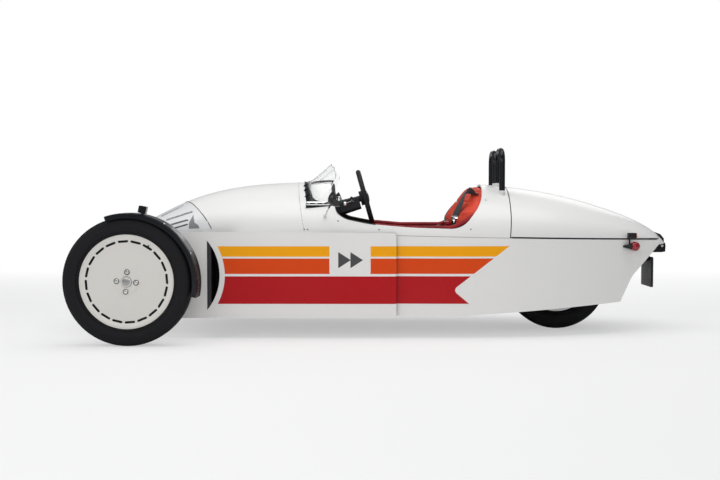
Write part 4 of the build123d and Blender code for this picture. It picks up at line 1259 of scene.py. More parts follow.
def trace(tree, station, angles, side):
    """Points on the upper skin where a seam runs down to the waist: station gives X from Y and Z."""
    spots = []
    ups = []
    for angle in angles:
        out = Vector((0, side * math.sin(angle), math.cos(angle)))
        x = station(0.4 * out.y, TRACE_PIVOT + 0.4 * out.z)
        for _ in range(6):
            spot, normal = shine(tree, Vector((x, 0, TRACE_PIVOT)) + out * 1.2, -out)
            x = station(spot.y, spot.z)
        if spot.z < seam_height(x) + 0.001:
            break
        spots.append(Vector((x, spot.y, spot.z)))
        ups.append(normal)
    return spots, ups


def level_run(tree, drop, low, high, side):
    """Points on the flank along X, a little below the waist."""
    found = [flank_spot(tree, x, seam_height(x) - drop, side) for x in spread(low, high, 41)]
    return [spot for spot, _ in found], [normal for _, normal in found]


def strip(bm, run, width, thickness, proud):
    """A flat strip laid along a run on the skin, standing a little proud."""
    spots, ups = run
    centres = [spot + up * (proud - thickness / 2) for spot, up in zip(spots, ups)]
    run_along(bm, path_frames(centres, ups), width, thickness)


def spread(low, high, count):
    """Evenly spaced values between two limits."""
    return [low + (high - low) * index / (count - 1) for index in range(count)]


# name, finish, line, panels, angle that it reaches, width, how proud it stands, how far ahead it is laid
CROSS_SEAMS = (
    ("bonnet_front_seal", "satin black", bonnet_front, SHELL, 1.30, 0.0050, 0.0004, 0.0),
    ("bonnet_rear_strip", "seam grey", bonnet_rear, SHELL, 1.38, 0.0022, 0.0003, 0.0),
    ("lid_front_seal", "seam grey", lid_front, ("scuttle", "hull"), 1.38, 0.0052, -0.0010, 0.0045),
)
# name, finish, drop below the waist, X where it starts and ends, then how far it is raised, its width, its
# thickness and how proud it stands
WAIST_SEAMS = (
    ("lid_side_seal", "satin black", 0.004, 0.745, 1.705, 0.0070, 0.0088, 0.004, 0.0007),
    ("waist_seam", "grey rubber", 0.002, 0.069, 0.738, 0.0020, 0.0024, 0.002, 0.0002),
)


class CAR_OT_seams(CarPiece):
    """Rubber and metal strips in the seams between the panels."""

    bl_idname = "car.seams"
    bl_label = "Seams"

    def build(self):
        for name, finish_name, line, panels, widest, width, proud, ahead in CROSS_SEAMS:
            tree = skin(*panels)
            bm = bmesh.new()
            for sign in (-1, 1):
                angles = spread(0.0, widest, 56)
                spots, ups = trace(tree, lambda y, z: line(y, z) - ahead, angles, sign)
                strip(bm, ([spot + Vector((ahead, 0, 0)) for spot in spots], ups), width, 0.003, proud)
            new_piece(name, bm, finish_name)
        tree = skin("hull")
        for name, finish_name, drop, low, high, rise, width, thickness, proud in WAIST_SEAMS:
            bm = bmesh.new()
            for sign in (-1, 1):
                spots, ups = level_run(tree, drop, low, high, sign)
                strip(bm, ([spot + Vector((0, 0, rise)) for spot in spots], ups), width, thickness, proud)
            new_piece(name, bm, finish_name)


def rim_chains(node, keep):
    """Runs of a node's edges that pass a test on their two faces and middle, each from left to right."""
    bm = bmesh.new()
    bm.from_mesh(NODES[node].data)
    bmesh.ops.remove_doubles(bm, verts=bm.verts, dist=1e-5)
    chosen = {edge for edge in bm.edges if len(edge.link_faces) == 2 and keep(edge)}
    chains = []
    while chosen:
        edge = chosen.pop()
        chain = [edge.verts[0], edge.verts[1]]
        for end in (0, -1):
            while True:
                step = next((other for other in chain[end].link_edges if other in chosen), None)
                if step is None:
                    break
                chosen.discard(step)
                vert = step.other_vert(chain[end])
                chain.insert(0, vert) if end == 0 else chain.append(vert)
        points = [vert.co.copy() for vert in chain]
        chains.append(points if points[0].y < points[-1].y else points[::-1])
    bm.free()
    return sorted(chains, key=lambda points: points[0].y)


def thinned(points, least):
    """The run without points nearer to the last than a least step."""
    kept = [points[0]]
    for point in points[1:-1]:
        if (point - kept[-1]).length > least:
            kept.append(point)
    kept.append(points[-1])
    return kept


def cockpit_rim(edge):
    """Whether an edge is where the cockpit's cut meets the outer skin, beside the driver's door."""
    centre = (edge.verts[0].co + edge.verts[1].co) / 2
    if not (-0.37 < centre.x < -0.05 and centre.z > 0.625) or edge.calc_face_angle(0.0) < 0.5:
        return False
    outward = Vector((0, centre.y, centre.z - 0.42)).normalized()
    cut, outer = [], []
    for face in edge.link_faces:
        if abs(face.normal.y) < 0.03:
            cut.append(face)
        elif face.normal.dot(outward) > 0.55:
            outer.append(face)
    return len(cut) == 1 and len(outer) == 1


TRIM_STEP = 0.008
TRIM_LEAST = 8  # shorter runs are only scraps of an edge


class CAR_OT_cockpit_trim(CarPiece):
    """Edge trim round the cockpit opening."""

    bl_idname = "car.cockpit_trim"
    bl_label = "Cockpit edge trim"

    def build(self):
        bm = bmesh.new()
        for chain in rim_chains("scuttle", cockpit_rim):
            run = thinned(chain, TRIM_STEP)
            if len(run) >= TRIM_LEAST:
                bar(bm, run, 0.0030, 10)
        new_piece("cockpit_edge_trim", bm, "satin black")


# X and Z of each screw
SCREW_PLACES = (
    (-0.4736, 0.6360), (-0.4540, 0.6360), (-0.2736, 0.6857), (-0.0323, 0.6360), (0.5030, 0.6380),
    (0.6090, 0.8090),
)


class CAR_OT_screws(CarPiece):
    """Panel screws along the seams, on both sides."""

    bl_idname = "car.screws"
    bl_label = "Panel screws"

    def build(self):
        radius = bpy.context.scene.car_sizes.screw_radius
        tree = skin(*SHELL)
        bm = bmesh.new()
        for x, z in SCREW_PLACES:
            for sign in (-1, 1):
                spot, normal = flank_spot(tree, x, z, sign)
                stud(bm, spot - normal * 0.0004, normal, radius * 0.75, 0.0024, 16)
        new_piece("panel_screws", bm, "dark steel")


# ---------------------------------------------------------------- cockpit fittings
WHEEL_CENTRE = Vector((-0.114, -0.270, 0.8265))
WHEEL_AXIS = upright(15.8)
HORN_PUSH = (
    (0.040, 0.0118), (0.040, 0.0150), (0.0375, 0.0168), (0.0355, 0.0158), (0.034, 0.0172), (0.026, 0.0205),
    (0.014, 0.0228), (0.0, 0.0235),
)
STITCHES = 132
STITCH_RADIUS = 0.1418
LEVER = ((-0.2364, -0.300, 0.7858), (-0.2320, -0.326, 0.7880), (-0.2000, -0.336, 0.8010))


class CAR_OT_steering_wheel(CarPiece):
    """Horn push, screws and stitching of the steering wheel."""

    bl_idname = "car.steering_wheel"
    bl_label = "Steering wheel trim"

    def build(self):
        body = "steering_wheel_body"
        across = Vector((0, 1, 0))
        rise = WHEEL_AXIS.cross(across).normalized()
        boss, rings, stitches, lever = (bmesh.new() for _ in range(4))
        lathe(boss, HORN_PUSH, WHEEL_CENTRE, WHEEL_AXIS, 64)
        new_piece("horn_push", boss, "satin black", body)
        ring(rings, WHEEL_CENTRE + WHEEL_AXIS * 0.0160, WHEEL_AXIS, 0.0366, 0.0013, 64, 8)
        for index in range(6):
            turn = math.radians(60 * index + 30)
            side = across * math.cos(turn) + rise * math.sin(turn)
            stud(rings, WHEEL_CENTRE + side * 0.0422 + WHEEL_AXIS * 0.0118, WHEEL_AXIS, 0.0024, 0.002, 6)
        new_piece("horn_ring", rings, "bright metal", body)
        for index in range(STITCHES):
            turn = 2 * math.pi * index / STITCHES
            side = across * math.cos(turn) + rise * math.sin(turn)
            along = -across * math.sin(turn) + rise * math.cos(turn)
            slant = Matrix((along, WHEEL_AXIS, side)).transposed().to_4x4() @ Matrix.Rotation(0.5, 4, "Z")
            cube(stitches, WHEEL_CENTRE + side * STITCH_RADIUS, (0.0052, 0.0014, 0.0012), slant)
        new_piece("wheel_stitches", stitches, "grey thread", body, smooth=False)
        bar(lever, LEVER, 0.0026, 12)
        ring(lever, (-0.1935, -0.337, 0.8040), (0, 1, 0), 0.0062, 0.0022, 24, 8)
        stud(lever, (-0.2364, -0.313, 0.7858), (0, -1, 0), 0.0120, 0.0100, 24)
        new_piece("column_lever", lever, "bright metal")


DIAL_X = -0.275
BEZEL = (
    (0.0480, 0.0006), (0.0465, 0.0042), (0.0480, 0.0062), (0.0505, 0.0064), (0.0530, 0.0040),
    (0.0536, -0.0020), (0.0520, -0.0020), (0.0500, 0.0002),
)
DIAL_CARD = ((0, 0.0012), (0.0482, 0.0012), (0.0482, 0.0002), (0, 0.0002))
DIAL_GLASS = ((0, 0.0060), (0.030, 0.0056), (0.0472, 0.0046), (0.0472, 0.0040), (0.030, 0.0050), (0, 0.0054))
NEEDLE_CAP = ((0, 0.0046), (0.004, 0.0044), (0.0056, 0.0030), (0.0056, 0.0012), (0, 0.0012))
SWITCH = (
    (0, 0), (0.0085, 0), (0.0085, 0.002), (0.0060, 0.004), (0.0030, 0.005), (0.0026, 0.012),
    (0.0040, 0.020), (0.0030, 0.0225), (0, 0.023),
)
WARNING_LAMP = ((0, 0), (0.006, 0), (0.006, 0.002), (0.0045, 0.004), (0, 0.0048))
SWITCH_PLACES = (-0.150, -0.120, 0.120, 0.150, 0.180, 0.210)
WARNING_PLACES = ((0.0, 0.838), (-0.022, 0.846), (0.022, 0.846))
MARKS = 40
SCALE_START, SCALE_SWEEP = -40.0, 260.0


class CAR_OT_dials(CarPiece):
    """Two dials on the middle of the dashboard, with switches under them."""

    bl_idname = "car.dials"
    bl_label = "Dials"

    def build(self):
        facing = Vector((0.052, 0, 0.010)).normalized()
        up = facing.cross(Vector((0, 1, 0))).normalized()
        bezels, faces, marks, needles, glasses, switches, lamps = (bmesh.new() for _ in range(7))

        def pointing(degrees):
            """Which way a mark or a needle points, and its turn."""
            turn = math.radians(degrees)
            side = Vector((0, -1, 0)) * math.cos(turn) + up * math.sin(turn)
            return side, Matrix((side, facing.cross(side), facing)).transposed().to_4x4()

        for sign, reading in ((-1, 25.0), (1, 0.0)):
            centre = Vector((DIAL_X, sign * DIAL_Y, DIAL_Z))
            lathe(bezels, BEZEL, centre, facing, 72, closed=True)
            lathe(faces, DIAL_CARD, centre, facing, 64)
            for index in range(MARKS + 1):
                side, turn = pointing(SCALE_START + SCALE_SWEEP * index / MARKS)
                length, width = (0.0078, 0.0014) if index % 5 == 0 else (0.0040, 0.0008)
                place = centre + side * (0.0440 - length / 2) + facing * 0.0014
                cube(marks, place, (length, width, 0.0004), turn)
            side, turn = pointing(reading)
            cube(needles, centre + side * 0.0150 + facing * 0.0024, (0.044, 0.0016, 0.0006), turn)
            lathe(needles, NEEDLE_CAP, centre, facing, 24)
            lathe(glasses, DIAL_GLASS, centre, facing, 48)
        tree = skin("dashboard")
        for y in SWITCH_PLACES:
            spot, normal = shine(tree, (0.0, y, 0.765), (-1, 0, 0))
            lathe(switches, SWITCH, spot, (normal + Vector((0, 0, -0.35))).normalized(), 18)
        for y, z in WARNING_PLACES:
            spot, normal = shine(tree, (0.0, y, z), (-1, 0, 0))
            lathe(lamps, WARNING_LAMP, spot, normal, 20)
        for name, bm, finish_name, slot in (
            ("dial_bezels", bezels, "bright metal", "steel"),
            ("dial_faces", faces, "dial face", "black_satin"),
            ("dial_marks", marks, "dial marks", "black_satin"),
            ("dial_needles", needles, "amber lens", "amber_lens"),
            ("dial_glasses", glasses, "lamp glass", "clear"),
            ("dash_switches", switches, "bright metal", "steel"),
            ("warning_lamps", lamps, "red lens", "red_lens"),
        ):
            new_piece(name, bm, finish_name)


BELT_THICKNESS = 0.0022
BELT_TOP = ((0.620, -0.330, 0.93), (0.560, -0.335, 0.93), (0.530, -0.345, 0.93))
SHOULDER = Vector((0.4930, -0.382, 0.8640))
TONGUE = Vector((0.4215, -0.398, 0.7074))
BELT_FALL = [(0.4160, -0.402, 0.640), (0.4070, -0.425, 0.500), (0.4020, -0.448, 0.365)]
BELT_RESTING = (
    (0.610, -0.335, 0.93), (0.545, -0.340, 0.92), (0.480, -0.350, 0.84), (0.430, -0.360, 0.72),
    (0.400, -0.370, 0.60), (0.400, -0.385, 0.48), (0.405, -0.410, 0.37),
)
# how far along the strap, and size
TONGUE_PLATES = ((0.0, (0.058, 0.003, 0.016)), (0.020, (0.024, 0.003, 0.030)))
EDGE_ON = Vector((-0.92, -0.16, 0.36))
TURNED = Vector((-0.72, -0.66, 0.22))
RESTING_FACE = Vector((-0.95, 0.0, 0.3))


class CAR_OT_belts(CarPiece):
    """Seat belts with tongues and buckles: the left one hangs free, the right one rests on its seat."""

    bl_idname = "car.belts"
    bl_label = "Seat belts"

    def build(self):
        width = bpy.context.scene.car_sizes.belt_width
        back_mesh = bmesh.new()
        back_mesh.from_mesh(PADS["seat_back_left"].data)
        back = BVHTree.FromBMesh(back_mesh)
        back_mesh.free()
        straps = {"left": bmesh.new(), "right": bmesh.new()}
        top = lay(back, BELT_TOP, 0.002)[0]
        hanging = curved(top + [SHOULDER, SHOULDER.lerp(TONGUE, 0.5), TONGUE] + BELT_FALL, 6)
        ups = []
        for spot in hanging:
            face = EDGE_ON.lerp(TURNED, ease(0.860 - spot.z, 0.0, 0.13))
            ups.append(Vector((0, 0, 1)).lerp(face, ease(0.545 - spot.x, 0.0, 0.05)).normalized())
        run_along(straps["left"], path_frames(hanging, ups), width, BELT_THICKNESS)
        resting, ups = lay(back, curved(BELT_RESTING, 6), 0.0026)
        ups = [Vector((up.x, 0.25 * up.y, up.z)).normalized() for up in ups]
        run_along(straps["right"], path_frames(resting, ups), width, BELT_THICKNESS)
        flip(straps["right"])
        for side, bm in straps.items():
            new_piece(f"belt_strap_{side}", bm, "belt webbing")
        for side, sign, drop, path, face in (
            ("left", -1, 0.0, hanging, TURNED), ("right", 1, -0.05, resting, RESTING_FACE),
        ):
            at = min(range(len(path)), key=lambda index: abs(path[index].z - TONGUE.z - drop))
            place = path_frames([path[at - 1], path[at]], [face, face])[1]
            tongues, buckles, buttons = (bmesh.new() for _ in range(3))
            for shift, size in TONGUE_PLATES:
                cube(tongues, (0, 0, 0), size, place @ Matrix.Translation((0, 0.003, shift)))
            soften(tongues, 0.0008)
            tilt = Matrix.Rotation(-0.25, 4, "Y")
            cube(buckles, (0.3840, -0.400, 0.668 + drop), (0.026, 0.030, 0.050), tilt)
            soften(buckles, 0.004, 3)
            stalk = [(0.3900, -0.400, 0.650 + drop), (0.3960, -0.402, 0.500), (0.4020, -0.404, 0.350)]
            run_along(buckles, path_frames(curved(stalk, 6), [(-1, 0, 0)] * 13), 0.024, 0.003)
            cube(buttons, (0.3800, -0.400, 0.6745 + drop), (0.030, 0.0325, 0.030), tilt)
            soften(buttons, 0.002)
            if sign > 0:
                for bm in (tongues, buckles, buttons):
                    flip(bm)
            new_piece(f"belt_tongue_{side}", tongues, "bright metal")
            new_piece(f"belt_buckle_{side}", buckles, "satin black")
            new_piece(f"belt_button_{side}", buttons, "red lens")


# ---------------------------------------------------------------- lamps, mirrors and screens
LAMP_PLACE = Vector((-1.480, -0.430, 0.622))
# each profile is radius and distance behind the lamp's front
LAMP_BOWL = (
    (0.0, 0.138), (0.012, 0.1365), (0.0264, 0.131), (0.042, 0.121), (0.058, 0.105), (0.071, 0.086),
    (0.080, 0.066), (0.0856, 0.0455), (0.0875, 0.020), (0.0880, 0.0), (0.0880, -0.008), (0.0868, -0.0125),
    (0.0820, -0.0125), (0.0800, -0.004), (0.0780, 0.008), (0.070, 0.026), (0.055, 0.046), (0.035, 0.060),
    (0.013, 0.066), (0.0, 0.067),
)
LAMP_RIM = (
    (0.0790, -0.0125), (0.0815, -0.0160), (0.0850, -0.0175), (0.0885, -0.0155), (0.0905, -0.0100),
    (0.0900, -0.0040), (0.0882, -0.0040), (0.0870, -0.0110), (0.0800, -0.0100),
)
REFLECTOR = (
    (0.0785, -0.0035), (0.0765, 0.0080), (0.0685, 0.0255), (0.0540, 0.0445), (0.0340, 0.0582),
    (0.0130, 0.0640), (0.0, 0.0648), (0.0, 0.0638), (0.0130, 0.0630), (0.0336, 0.0570),
    (0.0530, 0.0435), (0.0672, 0.0248), (0.0752, 0.0074), (0.0772, -0.0035),
)
BULB = (
    (0, 0.016), (0.008, 0.018), (0.0125, 0.026), (0.0130, 0.036), (0.0095, 0.046), (0.0095, 0.0636),
    (0, 0.0636),
)
LAMP_GLASS = (
    (0, -0.0200), (0.026, -0.0192), (0.050, -0.0168), (0.068, -0.0138), (0.0800, -0.0112),
    (0.0800, -0.0084), (0.068, -0.0110), (0.050, -0.0140), (0.026, -0.0164), (0, -0.0172),
)
# name, finish, slot, profile, sides, whether it closes, and the node that it stands for
LAMP_PARTS = (
    ("headlamp_bowls", "gloss black", "black_metal", LAMP_BOWL, 72, False, "headlamp_pods"),
    ("headlamp_rims", "bright metal", "steel", LAMP_RIM, 72, True, None),
    ("headlamp_reflectors", "mirror", "steel", REFLECTOR, 64, False, None),
    ("headlamp_bulbs", "bright metal", "steel", BULB, 28, False, None),
    ("headlamp_glasses", "ribbed glass", "clear", LAMP_GLASS, 64, False, "headlamp_lenses"),
)
LAMP_STALK = (
    (-1.436, -0.430, 0.560), (-1.440, -0.395, 0.566), (-1.450, -0.330, 0.566), (-1.458, -0.284, 0.564),
)
LAMP_FOOT = (-1.436, -0.430, 0.532)
FOOT_NUT = ((0, -0.004), (0.020, -0.004), (0.021, 0.004), (0.017, 0.012), (0, 0.014))


class CAR_OT_headlamps(CarPiece):
    """Headlamp bowls with reflectors, bulbs, rims and ribbed glasses."""

    bl_idname = "car.headlamps"
    bl_label = "Headlamps"

    def build(self):
        for name, finish_name, slot, profile, around, closed, node in LAMP_PARTS:
            bm = bmesh.new()
            lathe(bm, profile, LAMP_PLACE, (1, 0, 0), around, closed=closed)
            if name == "headlamp_bowls":
                bar(bm, curved(LAMP_STALK, 5), 0.0135, 18)
                lathe(bm, FOOT_NUT, LAMP_FOOT, (0, 0, 1), 24)
                bar(bm, [(-1.436, -0.430, 0.536), (-1.436, -0.430, 0.556)], 0.012, 18)
            both_sides(bm)
            made = new_piece(name, bm, finish_name)
            if node:
                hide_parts(node)


MIRROR_PLACE = Vector((-0.280, -0.590, 0.817))
MIRROR_GLASS = ((0, -0.0022), (0.030, -0.0024), (0.0455, -0.0030), (0.0455, -0.0039), (0, -0.0039))


class CAR_OT_mirror_glass(CarPiece):
    """Mirror glasses and the rims round them."""

    bl_idname = "car.mirror_glass"
    bl_label = "Mirror glasses"

    def build(self):
        facing = upright(23.0)
        glasses, rims = bmesh.new(), bmesh.new()
        lathe(glasses, MIRROR_GLASS, MIRROR_PLACE, facing, 56)
        ring(rims, MIRROR_PLACE - facing * 0.0004, facing, 0.0482, 0.0016, 64, 10)
        both_sides(glasses)
        both_sides(rims)
        new_piece("mirror_glasses", glasses, "mirror")
        new_piece("mirror_rims", rims, "satin black")


# Y and Z of the clips along a screen's foot
CLIP_PLACES = ((-0.110, 0.915), (-0.180, 0.900), (-0.250, 0.872), (-0.320, 0.835))
# X and length of the slots in a side bar's plate
PLATE_SLOTS = ((-0.428, 0.030), (-0.384, 0.030), (-0.350, 0.018))


class CAR_OT_screen_fittings(CarPiece):
    """Clips along the foot of each aeroscreen and the slotted plate on its side bar."""

    bl_idname = "car.screen_fittings"
    bl_label = "Aeroscreen fittings"

    def build(self):
        tree = skin("aeroscreens", "aeroscreen_rails")
        clips, plates, slots = (bmesh.new() for _ in range(3))
        for y, z in CLIP_PLACES:
            spot, normal = shine(tree, (-0.80, y, z), (1, 0, 0))
            cube(clips, spot + normal * 0.0015, (0.016, 0.022, 0.006), turn_to(normal))
            stud(clips, spot + normal * 0.004, normal, 0.0045, 0.004, 14)
        soften(clips, 0.0012)
        both_sides(clips)
        new_piece("screen_clips", clips, "satin black")
        for sign in (-1, 1):
            cube(plates, (-0.392, sign * 0.413, 0.789), (0.144, 0.003, 0.022))
            for x, length in PLATE_SLOTS:
                cube(slots, (x, sign * 0.4146, 0.790), (length, 0.0012, 0.0085))
            for x in (-0.456, -0.328):
                stud(slots, (x, sign * 0.4140, 0.790), (0, sign, 0), 0.0045, 0.003, 14)
        soften(plates, 0.001)
        new_piece("screen_plates", plates, "bright metal")
        new_piece("screen_plate_slots", slots, "satin black")


# ---------------------------------------------------------------- tail
class CAR_OT_tail_fittings(CarPiece):
    """Blank number plate, its screws, lamp rings and hinge bolts."""

    bl_idname = "car.tail_fittings"
    bl_label = "Tail fittings"

    def build(self):
        plate, screws, rings = (bmesh.new() for _ in range(3))
        cube(plate, (1.6884, 0, PLATE_Z), (0.0024, 0.222, 0.182))
        corners = [edge for edge in plate.edges if abs((edge.verts[0].co - edge.verts[1].co).x) > 0.001]
        bmesh.ops.bevel(
            plate, geom=corners, offset=0.010, segments=6, profile=0.5, affect="EDGES", material=-1
        )
        back = [face for face in plate.faces if face.normal.x > 0.9]
        bmesh.ops.inset_region(plate, faces=back, thickness=0.005, depth=0.0, use_even_offset=True)
        back = [face for face in plate.faces if face.normal.x > 0.9 and face.calc_area() > 0.02]
        bmesh.ops.inset_region(plate, faces=back, thickness=0.0015, depth=-0.0009, use_even_offset=True)
        new_piece("number_plate", plate, "plate white")
        for y in (-0.085, 0.085):
            for z in (0.298, 0.418):
                stud(screws, (1.6886, y, z), (1, 0, 0), 0.0060, 0.0030, 20)
        for sign in (-1, 1):
            stud(screws, (1.766, sign * 0.0217, 0.521), (0, sign, 0), 0.0100, 0.0060, 6)
            stud(screws, (1.742, sign * 0.0217, 0.541), (0, sign, 0), 0.0055, 0.0035, 6)
        new_piece("tail_bolts", screws, "bright metal")
        ring(rings, (1.5010, -0.305, 0.528), (1, 0, 0), 0.0200, 0.0022, 48, 8)
        both_sides(rings)
        new_piece("tail_lamp_rings", rings, "satin black")


# ---------------------------------------------------------------- running gear
# radius, and distance along the damper as a share of its length and then in metres
DAMPER_TUBE = (
    (0, 0, 0), (0.012, 0, 0), (0.0195, 0, 0.010), (0.0205, 0.12, 0), (0.0205, 0.56, 0), (0.0180, 0.58, 0),
    (0.0085, 0.585, 0), (0.0085, 0.93, 0), (0.013, 0.94, 0), (0.013, 1, 0), (0, 1, 0),
)
SPRING_SEAT = ((0.0210, 0), (0.0335, 0), (0.0340, 0.0020), (0.0335, 0.0048), (0.0210, 0.0048))
SPRING_LOW, SPRING_HIGH = 0.12, 0.845
EYE_BOLT = ((0, -0.0152), (0.0068, -0.0152), (0.0068, 0.0152), (0, 0.0152))
COILS = 7
COIL_STEPS = 20
COIL_RADIUS = 0.0268


class CAR_OT_dampers(CarPiece):
    """Coil springs over dampers at the front."""

    bl_idname = "car.dampers"
    bl_label = "Front dampers"

    def build(self):
        foot = Vector((AXLE_X, -0.620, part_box("front_dampers")[0][2] + 0.0140))
        head = Vector((AXLE_X, -0.3453, 0.520))
        axis = (head - foot).normalized()
        size = (head - foot).length
        tubes, seats, coils = (bmesh.new() for _ in range(3))
        lathe(tubes, [(radius, share * size + extra) for radius, share, extra in DAMPER_TUBE], foot, axis, 32)
        for place, radius in ((foot, 0.0140), (head, 0.0155)):
            wide = radius + 0.0004
            eye = [(0.007, -0.0140), (radius, -0.0140), (wide, -0.0120)]
            eye += [(wide, 0.0120), (radius, 0.0140), (0.007, 0.0140)]
            lathe(tubes, eye, place, (1, 0, 0), 32, closed=True)
            lathe(tubes, EYE_BOLT, place, (1, 0, 0), 20)
        for share in (SPRING_LOW, SPRING_HIGH):
            lathe(seats, SPRING_SEAT, foot + axis * (share * size), axis, 40, closed=True)
        across = axis.cross(Vector((1, 0, 0))).normalized()
        other = axis.cross(across)
        points = []
        for share in spread(0.0, 1.0, COILS * COIL_STEPS + 1):
            turn = 2 * math.pi * COILS * share
            rise = (SPRING_LOW + (SPRING_HIGH - SPRING_LOW) * share) * size
            rise += 0.0052 * (1 - 2 * share) + 0.0030
            out = across * math.cos(turn) + other * math.sin(turn)
            points.append(foot + axis * rise + out * COIL_RADIUS)
        bar(coils, points, 0.0044, 10)
        for bm in (tubes, seats, coils):
            both_sides(bm)
        body = new_piece("damper_bodies", tubes, "bare steel")
        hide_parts("front_dampers")
        new_piece("spring_seats", seats, "gloss black")
        new_piece("coil_springs", coils, "spring white")


# Z of each wishbone's bushes, and their X from the axle
BUSHES = ((0.290, (-0.118, 0.122)), (0.500, (-0.098, 0.102)))


class CAR_OT_suspension_bolts(CarPiece):
    """Bolt heads on the bushes, ball joints, uprights and calipers."""

    bl_idname = "car.suspension_bolts"
    bl_label = "Suspension bolts"

    def build(self):
        bm = bmesh.new()
        for z, places in BUSHES:
            for x in places:
                for end in (-1, 1):
                    stud(bm, (AXLE_X + x + end * 0.0180, -0.362, z), (end, 0, 0), 0.0095, 0.0060, 6)
        both_sides(bm)
        new_piece("bush_bolts", bm, "bright metal")
        for side, sign in SIDES:
            bm = bmesh.new()
            for z in (-0.036, 0.036):
                for x in (-0.155, -0.110):
                    stud(bm, (AXLE_X + x, sign * 0.7800, AXLE_Z + z), (0, -sign, 0), 0.0060, 0.0050, 6)
            for z in (0.285, 0.430):
                stud(bm, (AXLE_X, sign * 0.7220, z), (0, -sign, 0), 0.0090, 0.0060, 6)
            new_piece(f"knuckle_bolts_{side}", bm, "bright metal", f"knuckle_body_{side}")


class CAR_OT_guard_bolts(CarPiece):
    """Bolts along the front mudguards."""

    bl_idname = "car.guard_bolts"
    bl_label = "Mudguard bolts"

    def build(self):
        for side, sign in SIDES:
            tree = skin(f"mudguard_{side}")
            low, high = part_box(f"mudguard_{side}")
            edge = max(abs(low[1]), abs(high[1]))
            bm = bmesh.new()
            for degrees in (24.0, 56.3, 88.0):
                out = upright(degrees)
                start = Vector((AXLE_X, sign * (edge - 0.016), AXLE_Z)) + out * 0.60
                spot, normal = shine(tree, start, -out)
                stud(bm, spot - normal * 0.0004, normal, 0.0062, 0.0042, 16)
            new_piece(f"guard_bolts_{side}", bm, "bright metal", f"knuckle_body_{side}")


# X and Z of each fin's ends
NOSE_RIBS = (
    ((-1.3780, 0.7043), (-1.2440, 0.7703)),
    ((-1.3316, 0.6824), (-1.1675, 0.7353)),
    ((-1.2976, 0.6557), (-1.1857, 0.6867)),
    ((-1.2787, 0.6344), (-1.1857, 0.6605)),
)
# X and Z round the shaded panel behind the fins
NOSE_SCOOP = (
    (-1.1596, 0.7195), (-1.1796, 0.6733), (-1.1796, 0.6360), (-1.1116, 0.6380), (-1.1207, 0.6575),
    (-1.1456, 0.6733),
)


class CAR_OT_nose_ribs(CarPiece):
    """Fins cast on the sides of the nose, with dark strips under them as painted shadow, and grey patches of
    painted shade behind them.
    """

    bl_idname = "car.nose_ribs"
    bl_label = "Nose fins"

    def build(self):
        tree = skin("nose_cowl")
        ribs, grooves, scoops = (bmesh.new() for _ in range(3))
        for sign in (-1, 1):
            for start, end in NOSE_RIBS:
                # the bright fins, and under each one a dark strip of painted shadow
                for bm, lift, width, thickness, proud in (
                    (ribs, 0.0048, 0.0052, 0.0050, 0.0034), (grooves, 0.0, 0.0040, 0.0030, 0.0006),
                ):
                    places = zip(spread(start[0], end[0], 17), spread(start[1], end[1], 17))
                    found = [flank_spot(tree, x, z + lift, sign) for x, z in places]
                    strip(bm, zip(*found), width, thickness, proud)
        soften(ribs, 0.0010)
        new_piece("nose_fins", ribs, "bright metal")
        new_piece("nose_grooves", grooves, "satin black")
        for sign in (-1, 1):
            flat = bmesh.new()
            face = flat.faces.new([flat.verts.new((x, 0, z)) for x, z in NOSE_SCOOP])
            bmesh.ops.inset_region(flat, faces=[face], thickness=0.002, use_even_offset=True)
            bmesh.ops.triangulate(flat, faces=flat.faces)
            for _ in range(3):
                bmesh.ops.subdivide_edges(flat, edges=flat.edges, cuts=1, use_grid_fill=True)
            flat.verts.index_update()
            made = []
            for vert in flat.verts:
                spot, normal = flank_spot(tree, vert.co.x, vert.co.z, sign)
                made.append(scoops.verts.new(spot + normal * 0.0007))
            for face in flat.faces:
                scoops.faces.new([made[vert.index] for vert in face.verts])
            flat.free()
        new_piece("nose_shades", scoops, "shade grey")


class CAR_OT_finishes(CarPiece):
    """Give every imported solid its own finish."""

    bl_idname = "car.finishes"
    bl_label = "Finish the solids"

    def build(self):
        for node, finish_name in NODE_FINISHES.items():
            dress_node(node, finish_name)
        for side, _ in SIDES:
            for node, finish_name in SIDE_FINISHES.items():
                dress_node(f"{node}_{side}", finish_name)


FLOOR_SIZE = 40.0
FLOOR_WHITE = (0.80, 0.80, 0.79)
# what kind of ray sees it, colour, strength; the first is for all other rays
SKIES = (
    (None, (0.95, 0.96, 1.0, 1), 0.50),
    ("Is Glossy Ray", (0.95, 0.97, 1.0, 1), 0.22),
    ("Is Transmission Ray", (1, 1, 1, 1), 1.0),
    ("Is Camera Ray", (1, 1, 1, 1), 1.0),
)
# name, place, target, width and height, power
STUDIO_LAMPS = (
    ("overhead", (0.2, -0.6, 4.6), (0.1, 0.0, 0.3), (6.0, 3.2), 125.0),
    ("side_fill", (-1.2, -6.0, 2.6), (0.0, 0.0, 0.4), (5.0, 2.4), 84.0),
    ("front_rim", (-5.0, -1.5, 2.4), (-1.2, 0.0, 0.5), (2.4, 2.0), 36.0),
    ("back_rim", (1.5, 5.0, 3.2), (0.2, 0.0, 0.6), (5.0, 2.0), 48.0),
)
SENSOR_WIDTH = 36.0
FOCAL_LENGTH = 51.75
CAMERA_PLACE = (-0.100, -6.59, 0.821)
CAMERA_DOWN, CAMERA_ASIDE = 2.32, 0.415  # degrees
FAR_END = 200.0


